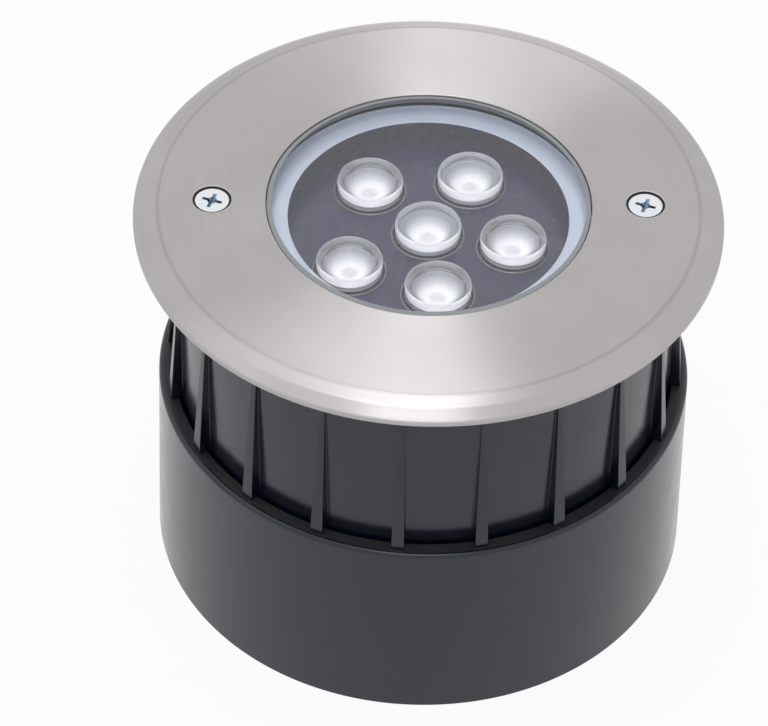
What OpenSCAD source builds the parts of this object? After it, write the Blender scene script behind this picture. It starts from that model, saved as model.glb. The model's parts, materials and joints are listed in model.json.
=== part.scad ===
// In ground well light: a sealed LED lamp under a round steel trim ring, which drops into a ribbed
// mounting sleeve that stands in a plain outer can. Millimetres, Z up, base of the can at zero,
// the two trim screws on the X axis. It is photographed from the -Y side and from above.

/* [Overall] */
// Height from the base of the can to the top face of the trim ring
total_h = 121; // [118:1:140]
// Outer diameter of the trim ring
trim_d = 160; // [158:1:175]

/* [Trim ring] */
// Thickness of the flat plate of the trim ring
trim_plate_t = 3.3; // [3.1:0.1:4]
// Width of the sloping bevel round the edge, seen from above
trim_bevel_w = 6.8; // [4:0.1:9]
// Drop of the bevel from the flat face to the upright edge
trim_bevel_h = 3.3; // [2.6:0.1:4.5]
// Share of the width of the bevel taken by its gentler inner part
bevel_inner_w_share = 0.56; // [0.4:0.02:0.7]
// Share of the drop of the bevel taken by its gentler inner part
bevel_inner_h_share = 0.36; // [0.25:0.01:0.4]
// Height of the upright edge, with its lower chamfer
trim_edge_h = 2.2; // [2:0.1:4]
// Height of the small chamfer under the upright edge
trim_edge_chamfer = 0.7; // [0.3:0.1:1]
// Width of the solid land under the edge, which rests on the paving
trim_land_w = 4; // [3:0.5:4.5]
// Width of the trim ring, from its outer edge to the light opening
trim_ring_w = 35.9; // [33.5:0.1:38]
// Break on the upper edge of the light opening
aperture_break = 0.25; // [0.1:0.05:0.6]

/* [Trim screws] */
// Distance of the centre of a screw from the edge of the housing flange
screw_inset = 3.9; // [3.4:0.1:4.8]
// Thread diameter of a trim screw
screw_d = 5; // [4:0.5:5]
// Length of a trim screw with its head
screw_l = 25; // [22:1:30]
// Diameter of the countersunk head
screw_head_d = 9.2; // [8.6:0.1:9.6]
// Height of the straight rim of the head
screw_rim_h = 0.4; // [0.2:0.1:0.6]
// Depth of the head below the face of the trim ring
screw_sink = 0.5; // [0.2:0.1:0.6]
// Gap all round between the head and its recess
screw_recess_gap = 0.65; // [0.3:0.05:0.8]
// Length of each arm line of the cross recess, tip to tip
cross_l = 5.7; // [4.5:0.1:6]
// Width of the arms of the cross recess
cross_w = 1; // [0.8:0.1:1.3]
// Diameter of the cone in the middle of the cross recess
cross_core_d = 2.6; // [2:0.1:3]
// Turn of the cross recess, seen from above
cross_turn = -19; // [-45:1:45]
// Depth of the cross recess
cross_deep = 1.7; // [1:0.1:2]

/* [Glass] */
// Depth of the glass face below the face of the trim ring
glass_drop = 0.15; // [0.1:0.05:0.9]
// Gap all round between the glass and the light opening
glass_gap = 0.25; // [0.2:0.05:0.6]
// Width of the shoulder of the stepped glass
glass_flange_w = 5; // [4.4:0.1:5.4]
// Thickness of the shoulder of the stepped glass
glass_flange_t = 3.6; // [3:0.1:5]
// Width of the shallow ground bevel on the upper edge of the glass
glass_bevel_w = 1.3; // [0.6:0.1:1.8]
// Depth of the bevel of the glass
glass_bevel_h = 0.3; // [0.1:0.05:0.6]
// Thickness of the lips of the glass gasket
seal_lip_t = 0.9; // [0.6:0.1:1.2]
// Width of the lips of the glass gasket on the glass
seal_lip_w = 3.6; // [2.6:0.1:3.8]
// Thickness of the outer wall of the glass gasket
seal_wall = 1; // [0.6:0.1:1.2]

/* [Clamp ring] */
// Thickness of the clamp ring over the housing flange
clamp_t = 2.2; // [2:0.1:3]
// Thickness of the clamp ring over the gasket
clamp_lip_t = 1.2; // [0.8:0.1:1.5]
// Number of clamp screws
clamp_screw_count = 6; // [4:2:8]
// Thread diameter of a clamp screw
clamp_screw_d = 3; // [2.5:0.5:3]
// Length of a clamp screw with its head
clamp_screw_l = 7; // [6:0.5:8]

/* [Light engine] */
// Width of the silver ring that shows under the glass
reflector_w = 6.8; // [5.6:0.1:9]
// Thickness of the silver ring
reflector_t = 1.2; // [0.8:0.1:1.5]
// Gap between the silver ring and the glass
reflector_gap = 0.6; // [0.3:0.05:0.9]
// Depth of the dark cover plate below the silver ring
plate_drop = 5.8; // [4:0.1:7]
// Thickness of the dark cover plate
plate_t = 1.5; // [1:0.1:2]
// Height of the skirt that carries the cover plate
skirt_h = 13.6; // [13:0.1:18]
// Wall of the skirt of the cover plate
skirt_wall = 1.6; // [1.2:0.1:2]
// Radius of the rim of an optic as a share of the radius of the cover plate
optic_share = 0.2172; // [0.205:0.0002:0.223]
// Height of the rim of an optic
optic_rim_h = 2.8; // [2:0.1:3.2]
// Height of the top of an optic above the cover plate
optic_proud = 4; // [3.4:0.1:4.6]
// Depth of the bowl in the face of an optic
bowl_deep = 4.4; // [3:0.1:4.8]
// Radius of the circle of the outer optics as a share of the radius of the cover plate
optic_circle_share = 0.57; // [0.55:0.005:0.6]
// Direction of the first outer optic, counted from the X axis
optic_first_a = -84; // [-90:1:-78]
// Turn by which the fifth optic stands off its regular place
optic_last_turn = 10; // [0:1:10]
// Distance by which the fifth optic stands further out, as a share of the same radius
optic_last_out_share = 0.05; // [0:0.005:0.05]
// Thickness of the LED board
board_t = 1.6; // [1:0.1:2]
// Thickness of the thermal pad under the LED board
pad_t = 0.5; // [0.3:0.1:1]
// Side of the square body of an LED as a share of the radius of an optic
led_share = 0.39; // [0.33:0.01:0.41]

/* [Lamp housing] */
// Gap all round between the flange of the housing and the neck of the sleeve
flange_gap = 3.1; // [2.6:0.1:3.6]
// Thickness of the flange of the housing
flange_t = 5; // [4.4:0.1:6]
// Width of the step inside the gasket that leads down into the LED chamber
chamber_step = 3.55; // [3:0.05:4]
// Thickness of the floor under the LED board
floor_t = 6; // [5:0.5:8]
// Wall of the driver chamber
bay_wall = 8; // [7.4:0.1:8.6]
// Depth of the driver chamber
driver_bay_h = 33; // [31:1:36]
// Wall of the LED chamber, down to the root of the fins
body_wall = 4.5; // [4:0.1:5.2]
// Gap between the tips of the cooling fins and the screw posts
fin_gap = 2.9; // [1.8:0.1:4]
// Number of cooling fins
fin_count = 24; // [12:2:30]
// Thickness of a cooling fin
fin_t = 2.2; // [1.4:0.1:3]

/* [Rear cover] */
// Thickness of the rear cover
cover_t = 5; // [4:0.5:7]
// Height of the spigot that enters the housing
spigot_h = 6; // [5:0.5:8]
// Number of rear cover screws
cover_screw_count = 4; // [3:1:6]
// Thread diameter of a small machine screw
small_screw_d = 3; // [2.5:0.1:3]
// Thickness of the ring seal of the rear cover
seal_ring_t = 2.2; // [1.8:0.1:2.6]

/* [Cable gland] */
// Diameter of the thread of the gland
gland_thread_d = 16; // [14:1:18]
// Width across flats of the gland and its nut
gland_flats = 21; // [20:0.5:24]
// Diameter of the bore that grips the cable
cable_d = 7.8; // [6:0.2:8]
// Length of the rubber seal in the gland
gland_seal_l = 10; // [8:0.5:12]

/* [Ribbed sleeve] */
// Width of the rim that stands out from the neck wall
rim_w = 7.5; // [7:0.1:8]
// Thickness of the neck wall
neck_wall = 2.5; // [2:0.1:2.8]
// Distance by which the neck stands out further at the ledge than under the rim
neck_flare = 1; // [0.6:0.1:1.4]
// Thickness of the rim under the trim ring
rim_t = 2.5; // [2:0.1:4]
// Gap all round between the rim and the land of the trim ring
rim_gap = 0.4; // [0.2:0.1:0.8]
// Number of gusset ribs
rib_count = 20; // [10:1:24]
// Turn of the first rib from the front, seen from above
rib_phase = -6; // [-9:1:9]
// Radial depth of a rib just under the rim
rib_top_deep = 0.2; // [0.1:0.1:1.2]
// Radial depth of a rib at its foot
rib_foot_deep = 3.3; // [2.8:0.1:3.6]
// Width of a rib just under the rim
rib_top_w = 1; // [0.8:0.1:2]
// Width of a rib at its foot
rib_foot_w = 3.6; // [2.6:0.1:4]
// Length of the neck wall below the ledge of the can
neck_tail = 14; // [12:1:20]
// Diameter of the two screw posts
post_d = 10.4; // [9.4:0.2:10.6]
// Length of the two screw posts
post_l = 32; // [26:1:40]
// Outer diameter of a brass insert
insert_d = 6.8; // [6.6:0.1:7.4]
// Length of a brass insert
insert_l = 9; // [7:0.5:12]

/* [Outer can] */
// Height of the outer can
can_h = 60.5; // [56:0.5:64]
// Width of the top of the can outside the rib feet
can_shoulder = 2; // [1.7:0.1:2.6]
// Distance by which the base of the can stands out further than its top
can_flare = 1.4; // [0.6:0.1:2.4]
// Wall of the can
can_wall = 3; // [2.4:0.1:3.4]
// Thickness of the ledge at the top of the can
ledge_t = 3; // [2.4:0.1:4]
// Gap between the neck and the hole in the ledge
ledge_gap = 0.6; // [0.4:0.1:0.9]
// Round on the outer top edge of the can
can_edge_r = 1; // [0.3:0.1:1.2]

/* [Hidden] */
$fn = 96;

// Overrun of every cut
cut = 1;
// Clearance of a pin or a spigot in its bore, on the radius
fit_gap = 0.1;
// Clearance of a screw in a hole that it only passes through, on the radius
pass_gap = 0.3;
// Gap left at rest between the lamp flange and the screw posts
post_gap = 0.3;
// Gap left at rest between the rib feet and the ledge of the can
foot_gap = 0.3;

// Levels from the top down: trim ring, clamp ring and glass
top_z = total_h;
trim_under_z = top_z - trim_plate_t;
trim_edge_z = top_z - trim_bevel_h - trim_edge_h;
trim_r = trim_d / 2;
land_in_r = trim_r - trim_land_w;
aperture_r = trim_r - trim_ring_w;
glass_r = aperture_r - glass_gap;
glass_flange_r = glass_r + glass_flange_w;
glass_top_z = top_z - glass_drop;
glass_step_z = trim_under_z - clamp_lip_t - seal_lip_t;
glass_under_z = glass_step_z - glass_flange_t;
seal_in_r = glass_flange_r - seal_lip_w;
seal_out_r = glass_flange_r + seal_wall;
seal_under_z = glass_under_z - seal_lip_t;
clamp_under_z = trim_under_z - clamp_t;
clamp_in_r = aperture_r + glass_gap;
flange_under_z = clamp_under_z - flange_t;

// Radii from the rim of the sleeve inwards
rim_r = land_in_r - rim_gap;
neck_r = rim_r - rim_w;
neck_in_r = neck_r - neck_wall;
flange_r = neck_in_r - flange_gap;
post_x = flange_r - screw_inset;
post_r = post_d / 2;
clamp_screw_r = (seal_out_r + flange_r) / 2;

// Levels inside the lamp
reflector_top_z = glass_under_z - reflector_gap;
reflector_under_z = reflector_top_z - reflector_t;
reflector_r = seal_in_r - pass_gap;
reflector_in_r = reflector_r - reflector_w;
plate_top_z = reflector_under_z - plate_drop;
board_top_z = reflector_under_z - skirt_h;
board_under_z = board_top_z - board_t;
floor_top_z = board_under_z - pad_t;
floor_under_z = floor_top_z - floor_t;
chamber_r = seal_in_r - chamber_step;
skirt_r = chamber_r - pass_gap;
optic_r = skirt_r * optic_share;
optic_circle_r = skirt_r * optic_circle_share;
optic_last_out = skirt_r * optic_last_out_share;
led_w = optic_r * led_share;
optic_top_z = plate_top_z + optic_proud;
optic_rim_z = optic_top_z - optic_rim_h;
holder_wall = 0.7;
holder_r = optic_r - holder_wall;
plate_hole_r = optic_r + pass_gap;
plate_hole_break = 0.3;
optic_foot_gap = 1.2;
optic_foot_z = board_top_z + optic_foot_gap;
optic_body_r = holder_r - holder_wall - fit_gap;
optic_foot_r = led_w * 1.45;
optic_pocket_r = led_w * 0.85;
optic_pocket_h = optic_foot_gap * 2.5;
optic_rim_w = 1.1;
optic_rim_round = 0.45;
optic_dish = 0.5;
optic_facets = 60;
bowl_r = optic_r - optic_rim_w - optic_dish;
bowl_rows = 6;
bowl_ball_r = (bowl_r * bowl_r + bowl_deep * bowl_deep) / (2 * bowl_deep);
bowl_span = asin(bowl_r / bowl_ball_r);
outer_optics = 5;
trim_screw_count = 2;
// Direction and distance of each optic: the middle one is number zero, the last one stands off
optic_step_a = 360 / outer_optics;
function is_last(i) = i == outer_optics ? 1 : 0;
function optic_a(i) = optic_first_a + (i - 1) * optic_step_a + is_last(i) * optic_last_turn;
function optic_pr(i) = i == 0 ? 0 : optic_circle_r + is_last(i) * optic_last_out;

// Screws and leads of the LED board, each between one outer optic and the next
board_screw_places = [2, 3, 5];
lead_place = 1;
board_screw_r = skirt_r - skirt_wall - small_screw_d;
function next_a(i) = i == outer_optics ? optic_a(1) + 360 : optic_a(i + 1);
function between_a(i) = (optic_a(i) + next_a(i)) / 2;
pan_head_r = small_screw_d * 0.9;
pan_head_h = small_screw_d * 0.65;
board_screw_l = small_screw_d * 2.5;
lead_r = 0.75;
lead_pitch = lead_r * 2.8;
lead_hole_r = lead_pitch * 1.45;
lead_stub = 0.9;

// Levels of the driver chamber, the rear cover and the gland
body_r = chamber_r + body_wall;
bay_r = body_r - bay_wall;
bay_open_z = floor_under_z - driver_bay_h;
fin_r = post_x - post_r - fin_gap;
fin_low_gap = 4;
standoff_h = 5;
standoff_r = small_screw_d * 1.15;
standoff_clear = 0.8;
standoff_place_r = bay_r - standoff_r - 2 * standoff_clear;
standoff_count = 4;
driver_screw_l = board_t + standoff_h * 0.8;
driver_top_z = floor_under_z - standoff_h;
driver_under_z = driver_top_z - board_t;
driver_r = bay_r - standoff_clear;
lead_place_r = driver_r - 2 * lead_r;
cover_under_z = bay_open_z - cover_t;
cover_screw_r = (bay_r + body_r) / 2;
cover_screw_l = cover_t + small_screw_d * 2;
spigot_r = bay_r - fit_gap;
seal_ring_r = seal_ring_t / 2;
seal_path_r = bay_r - seal_ring_r - fit_gap;
seal_groove_r = seal_path_r - seal_ring_r - fit_gap;
seal_groove_h = seal_ring_t * 1.2;
seal_ring_z = bay_open_z + spigot_h / 2;
thread_r = gland_thread_d / 2;
hex_r = gland_flats / sqrt(3);
gland_washer_t = 1.2;
gland_hex_h = 5;
gland_top_stub = 3;
gland_tail_l = 10;
gland_wall = 1.8;
gland_bore_r = thread_r - gland_wall - fit_gap;
gland_tail_r = thread_r - fit_gap;
gland_hex_z = cover_under_z - gland_washer_t;
gland_hex_under_z = gland_hex_z - gland_hex_h;
gland_tail_z = gland_hex_under_z - gland_tail_l;
nut_gap = 1.6;
nut_top_z = gland_hex_under_z - nut_gap;
nut_hex_h = 8;
nut_end_t = 2;
nut_hex_under_z = nut_top_z - nut_hex_h;
nut_mouth_r = cable_d / 2 + pass_gap;
nut_nose_r = thread_r + gland_wall * 0.8;
seal_stand = 2;
gland_seal_under_z = gland_tail_z - seal_stand;
nut_end_z = gland_seal_under_z - nut_end_t;
gland_seal_top_z = gland_seal_under_z + gland_seal_l;

// Levels of the sleeve and the can
rim_top_z = trim_edge_z;
rim_under_z = rim_top_z - rim_t;
neck_foot_r = neck_r + neck_flare;
rib_foot_r = neck_foot_r + rib_foot_deep;
rib_top_r = neck_r + rib_top_deep;
can_top_z = can_h;
rib_foot_z = can_top_z + foot_gap;
neck_end_z = can_top_z - neck_tail;
post_top_z = flange_under_z - post_gap;
post_end_z = post_top_z - post_l;
post_web_w = post_r;
insert_r = insert_d / 2;
insert_bore_r = screw_d / 2 + fit_gap / 2;
hook_count = 4;
hook_w = 12;
hook_grip = 1.2;
hook_top_z = can_top_z - ledge_t - fit_gap;
hook_slope_h = 7;
hook_land_h = 2;
ledge_r = neck_foot_r + ledge_gap;
can_top_r = rib_foot_r + can_shoulder;
can_base_r = can_top_r + can_flare;

// A ring of square section
module ring(r_out, r_in, z_low, z_high) {
    translate([0, 0, z_low])
        difference() {
            cylinder(r = r_out, h = z_high - z_low);
            translate([0, 0, -cut])
                cylinder(r = r_in, h = z_high - z_low + 2 * cut);
        }
}

// A round hole down through a plate between two levels
module hole(r, z_low, z_high) {
    translate([0, 0, z_low - cut])
        cylinder(r = r, h = z_high - z_low + 2 * cut);
}

// Children copied evenly round the Z axis
module around(count, first_a = 0) {
    for (i = [0 : count - 1])
        rotate([0, 0, first_a + i * 360 / count])
            children();
}

// Children at the place of one optic
module at_optic(i) {
    rotate([0, 0, optic_a(i)])
        translate([optic_pr(i), 0, 0])
            children();
}

// Outer can: tapered wall open at the base, with a rounded edge and an inward ledge under the rib feet
module outer_can() {
    edge = [for (a = [0 : 30 : 90])
        [can_top_r - can_edge_r * (1 - cos(a)), can_top_z - can_edge_r * (1 - sin(a))]];
    color("dimgray")
        rotate_extrude()
            polygon(concat(
                [[can_base_r - can_wall, 0], [can_base_r, 0]],
                edge,
                [
                    [ledge_r, can_top_z],
                    [ledge_r, can_top_z - ledge_t],
                    [can_top_r - can_wall, can_top_z - ledge_t]
                ]
            ));
}

// Ribbed sleeve: flared neck, rim, gusset ribs, two screw posts and the hooks under the ledge
module ribbed_sleeve() {
    color("dimgray")
        difference() {
            union() {
                flared_neck();
                ring(rim_r, neck_in_r, rim_under_z, rim_top_z);
                around(rib_count, rib_phase - 90)
                    gusset_rib();
                around(trim_screw_count)
                    screw_post();
                around(hook_count, rib_phase + 180 / rib_count)
                    ledge_hook();
            }
            around(trim_screw_count)
                post_bore();
        }
}

// Neck wall, wider at the ledge than under the rim
module flared_neck() {
    rotate_extrude()
        polygon([
            [neck_in_r, neck_end_z],
            [neck_foot_r, neck_end_z],
            [neck_foot_r, can_top_z],
            [neck_r, rim_under_z],
            [neck_r, rim_top_z],
            [neck_in_r, rim_top_z]
        ]);
}

// One gusset: thin and narrow under the rim, deep and wide at the foot
module gusset_rib() {
    root_r = neck_r - neck_wall / 2;
    intersection() {
        rotate([90, 0, 0])
            translate([0, 0, -rib_foot_w])
                linear_extrude(height = 2 * rib_foot_w)
                    polygon([
                        [root_r, rib_foot_z],
                        [rib_foot_r, rib_foot_z],
                        [rib_top_r, rim_under_z + rim_t / 2],
                        [root_r, rim_under_z + rim_t / 2]
                    ]);
        rotate([90, 0, 90])
            linear_extrude(height = rib_foot_r + cut)
                polygon([
                    [-rib_foot_w / 2, rib_foot_z],
                    [rib_foot_w / 2, rib_foot_z],
                    [rib_top_w / 2, rim_under_z + rim_t / 2],
                    [-rib_top_w / 2, rim_under_z + rim_t / 2]
                ]);
    }
}

// Post inside the neck that carries a brass insert, tied to the wall by a web
module screw_post() {
    web_l = neck_in_r + neck_wall / 2 - post_x;
    translate([post_x, 0, post_end_z])
        cylinder(r = post_r, h = post_l);
    translate([post_x, -post_web_w / 2, post_end_z])
        cube([web_l, post_web_w, post_l]);
}

// Seat of the insert and the room for the screw tip under it
module post_bore() {
    translate([post_x, 0, 0]) {
        hole(insert_r, post_top_z - insert_l + cut, post_top_z);
        hole(screw_d / 2 + pass_gap, post_end_z, post_top_z);
    }
}

// Sloping hook on the neck wall that catches under the ledge
module ledge_hook() {
    root_r = neck_r - neck_wall / 2;
    tip_r = ledge_r + hook_grip;
    rotate([90, 0, 0])
        translate([0, 0, -hook_w / 2])
            linear_extrude(height = hook_w)
                polygon([
                    [root_r, hook_top_z],
                    [tip_r, hook_top_z],
                    [tip_r, hook_top_z - hook_land_h],
                    [root_r, hook_top_z - hook_land_h - hook_slope_h]
                ]);
}

// Two brass inserts pressed into the posts
module sleeve_inserts() {
    color("goldenrod")
        around(trim_screw_count)
            translate([post_x, 0, 0])
                ring(insert_r, insert_bore_r, post_top_z - insert_l, post_top_z);
}

// Trim ring: flat plate with a bevel, an upright edge and a solid land under it
module trim_ring() {
    bevel_mid_r = trim_r - trim_bevel_w * (1 - bevel_inner_w_share);
    bevel_mid_z = top_z - trim_bevel_h * bevel_inner_h_share;
    color("lightgray")
        difference() {
            rotate_extrude()
                polygon([
                    [aperture_r, trim_under_z],
                    [land_in_r, trim_under_z],
                    [land_in_r, trim_edge_z],
                    [trim_r - trim_edge_chamfer, trim_edge_z],
                    [trim_r, trim_edge_z + trim_edge_chamfer],
                    [trim_r, top_z - trim_bevel_h],
                    [bevel_mid_r, bevel_mid_z],
                    [trim_r - trim_bevel_w, top_z],
                    [aperture_r + aperture_break, top_z],
                    [aperture_r, top_z - aperture_break]
                ]);
            around(trim_screw_count)
                translate([post_x, 0, 0])
                    screw_recess();
        }
}

// Recess for a countersunk head and the hole under it
module screw_recess() {
    recess_r = screw_head_d / 2 + screw_recess_gap;
    rim_z = top_z - screw_sink - screw_rim_h;
    hole_r = screw_d / 2 + pass_gap;
    cone_h = (screw_head_d - screw_d) / 2;
    hole(hole_r, trim_under_z, top_z);
    translate([0, 0, rim_z])
        cylinder(r = recess_r, h = top_z - rim_z + cut);
    translate([0, 0, rim_z - cone_h])
        cylinder(r1 = hole_r, r2 = screw_head_d / 2 + pass_gap, h = cone_h);
}

// Countersunk screw with a cross recess, its thread drawn as a plain shank
module trim_screws() {
    color("silver")
        around(trim_screw_count)
            translate([post_x, 0, top_z - screw_sink])
                countersunk_screw(screw_d, screw_head_d, screw_rim_h, screw_l);
}

// A countersunk screw whose head lies at zero and whose shank points down
module countersunk_screw(d, head_d, rim_h, long) {
    cone_h = (head_d - d) / 2;
    tip = d / 6;
    size = head_d / screw_head_d;
    difference() {
        rotate_extrude()
            polygon([
                [0, -long],
                [d / 2 - tip, -long],
                [d / 2, -long + tip],
                [d / 2, -rim_h - cone_h],
                [head_d / 2, -rim_h],
                [head_d / 2, 0],
                [0, 0]
            ]);
        for (a = [0, 90])
            rotate([0, 0, a + cross_turn])
                cross_arm(size);
        translate([0, 0, -cross_deep * size])
            cylinder(r1 = cross_w * size / 2, r2 = cross_core_d * size / 2, h = cross_deep * size);
        translate([0, 0, -fit_gap * size])
            cylinder(r = cross_core_d * size / 2, h = cut);
    }
}

// One arm line of a cross recess, tapered towards its floor
module cross_arm(size) {
    half_w = cross_w * size / 2;
    rotate([90, 0, 0])
        translate([0, 0, -half_w])
            linear_extrude(height = 2 * half_w)
                polygon([
                    [-cross_l * size / 2, cut],
                    [-cross_l * size / 2, 0],
                    [-cross_l * size / 4, -cross_deep * size],
                    [cross_l * size / 4, -cross_deep * size],
                    [cross_l * size / 2, 0],
                    [cross_l * size / 2, cut]
                ]);
}

// Flat gasket between the trim ring and the rim of the sleeve
module trim_gasket() {
    color("black")
        ring(rim_r - rim_gap, neck_in_r + rim_gap, rim_top_z, trim_under_z);
}

// Stepped toughened glass with a shallow bevel
module glass_lens() {
    color("lightcyan")
        rotate_extrude()
            polygon([
                [0, glass_under_z],
                [glass_flange_r, glass_under_z],
                [glass_flange_r, glass_step_z],
                [glass_r, glass_step_z],
                [glass_r, glass_top_z - glass_bevel_h],
                [glass_r - glass_bevel_w, glass_top_z],
                [0, glass_top_z]
            ]);
}

// Gasket of U section that wraps the shoulder of the glass
module glass_gasket() {
    color("black")
        rotate_extrude()
            polygon([
                [seal_in_r, seal_under_z],
                [seal_out_r, seal_under_z],
                [seal_out_r, glass_step_z + seal_lip_t],
                [seal_in_r, glass_step_z + seal_lip_t],
                [seal_in_r, glass_step_z],
                [glass_flange_r, glass_step_z],
                [glass_flange_r, glass_under_z],
                [seal_in_r, glass_under_z]
            ]);
}

// Clamp ring that presses the gasket and the glass on the housing
module clamp_ring() {
    color("silver")
        difference() {
            rotate_extrude()
                polygon([
                    [clamp_in_r, trim_under_z],
                    [clamp_in_r, trim_under_z - clamp_lip_t],
                    [seal_out_r + fit_gap, trim_under_z - clamp_lip_t],
                    [seal_out_r + fit_gap, clamp_under_z],
                    [flange_r, clamp_under_z],
                    [flange_r, trim_under_z]
                ]);
            around(trim_screw_count)
                translate([post_x, 0, 0])
                    hole(screw_d / 2 + pass_gap, clamp_under_z, trim_under_z);
            around(clamp_screw_count, 180 / clamp_screw_count)
                translate([clamp_screw_r, 0, 0])
                    clamp_sink();
        }
}

// Countersunk hole for a clamp screw
module clamp_sink() {
    hole_r = clamp_screw_d / 2 + fit_gap;
    cone_h = clamp_screw_d * 0.45;
    hole(hole_r, clamp_under_z, trim_under_z);
    translate([0, 0, trim_under_z - cone_h])
        cylinder(r1 = hole_r, r2 = hole_r + cone_h, h = cone_h);
    translate([0, 0, trim_under_z])
        cylinder(r = hole_r + cone_h, h = cut);
}

// Six countersunk clamp screws, flush with the clamp ring
module clamp_screws() {
    cone_h = clamp_screw_d * 0.45;
    color("gray")
        around(clamp_screw_count, 180 / clamp_screw_count)
            translate([clamp_screw_r, 0, trim_under_z])
                countersunk_screw(clamp_screw_d, clamp_screw_d + 2 * cone_h, 0, clamp_screw_l);
}

// Silver ring that frames the light opening under the glass
module reflector_ring() {
    color("lightsteelblue")
        ring(reflector_r, reflector_in_r, reflector_under_z, reflector_top_z);
}

// Dark plate with a hole for each optic, carried on a skirt that stands on the LED board
module cover_plate() {
    color("slategray")
        difference() {
            union() {
                ring(skirt_r, skirt_r - skirt_wall, board_top_z, reflector_under_z);
                translate([0, 0, plate_top_z - plate_t])
                    cylinder(r = skirt_r - skirt_wall / 2, h = plate_t);
            }
            for (i = [0 : outer_optics])
                at_optic(i)
                    plate_hole();
        }
}

// Hole of the cover plate with a bright broken edge
module plate_hole() {
    hole(plate_hole_r, plate_top_z - plate_t, plate_top_z);
    translate([0, 0, plate_top_z - plate_hole_break])
        cylinder(r1 = plate_hole_r, r2 = plate_hole_r + plate_hole_break, h = plate_hole_break);
}

// Clear collimator: rounded rim, bowl, tapered body and a pocket over the LED
module optic(i) {
    ball_z = optic_top_z - optic_dish - bowl_deep + bowl_ball_r;
    mid_r = (optic_body_r + optic_foot_r) / 2;
    bowl = [for (row = [0 : bowl_rows])
        let (a = bowl_span * (1 - row / bowl_rows))
        [bowl_ball_r * sin(a), ball_z - bowl_ball_r * cos(a)]];
    color("white")
        at_optic(i)
            rotate_extrude($fn = optic_facets)
                polygon(concat([
                    [0, optic_foot_z + optic_pocket_h],
                    [optic_pocket_r, optic_foot_z + optic_pocket_h - optic_rim_round],
                    [optic_pocket_r, optic_foot_z],
                    [optic_foot_r, optic_foot_z],
                    [mid_r + optic_rim_round, (optic_foot_z + optic_rim_z) / 2],
                    [optic_body_r, optic_rim_z],
                    [optic_r, optic_rim_z],
                    [optic_r, optic_top_z - optic_rim_round],
                    [optic_r - optic_rim_round * 0.3, optic_top_z - optic_rim_round * 0.3],
                    [optic_r - optic_rim_round, optic_top_z],
                    [optic_r - optic_rim_w, optic_top_z]
                ], bowl));
}

// Black cup that stands on the LED board and carries an optic by its rim
module optic_holder(i) {
    color("black")
        at_optic(i)
            ring(holder_r, holder_r - holder_wall, board_top_z, optic_rim_z);
}

// Six LEDs: square body with a low dome
module led_emitters() {
    led_h = optic_foot_gap;
    color("gold")
        for (i = [0 : outer_optics])
            at_optic(i)
                translate([0, 0, board_top_z]) {
                    translate([-led_w / 2, -led_w / 2, 0])
                        cube([led_w, led_w, led_h]);
                    translate([0, 0, led_h / 2])
                        cylinder(r = led_w * 0.4, h = led_h);
                }
}

// Round LED board with its screw holes and the hole of the leads
module led_board() {
    color("white")
        difference() {
            translate([0, 0, board_under_z])
                cylinder(r = skirt_r, h = board_t);
            at_board_screws()
                hole(small_screw_d / 2 + fit_gap, board_under_z, board_top_z);
            at_leads()
                hole(lead_hole_r, board_under_z, board_top_z);
        }
}

// Children at the places of the screws of the LED board
module at_board_screws() {
    for (i = board_screw_places)
        rotate([0, 0, between_a(i)])
            translate([board_screw_r, 0, 0])
                children();
}

// Children at the place where the leads pass down
module at_leads() {
    rotate([0, 0, between_a(lead_place)])
        translate([lead_place_r, 0, 0])
            children();
}

// Pan head screw whose head stands on zero and whose shank points down
module pan_screw(long) {
    cylinder(r = pan_head_r, h = pan_head_h);
    translate([0, 0, -long])
        cylinder(r = small_screw_d / 2, h = long + pan_head_h / 2);
}

// Three screws that pull the LED board on the housing floor
module board_screws() {
    color("silver")
        at_board_screws()
            translate([0, 0, board_top_z])
                pan_screw(board_screw_l);
}

// Thermal pad between the LED board and the housing floor
module thermal_pad() {
    color("lightpink")
        difference() {
            translate([0, 0, floor_top_z])
                cylinder(r = skirt_r - skirt_wall / 2, h = pad_t);
            at_board_screws()
                hole(small_screw_d / 2 + fit_gap, floor_top_z, board_under_z);
            at_leads()
                hole(lead_hole_r, floor_top_z, board_under_z);
        }
}

// Two leads from the driver board up to the LED board
module led_leads() {
    color("red")
        at_leads()
            for (side = [-1, 1])
                translate([0, side * lead_pitch / 2, driver_top_z])
                    cylinder(r = lead_r, h = board_top_z + lead_stub - driver_top_z);
}

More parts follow.
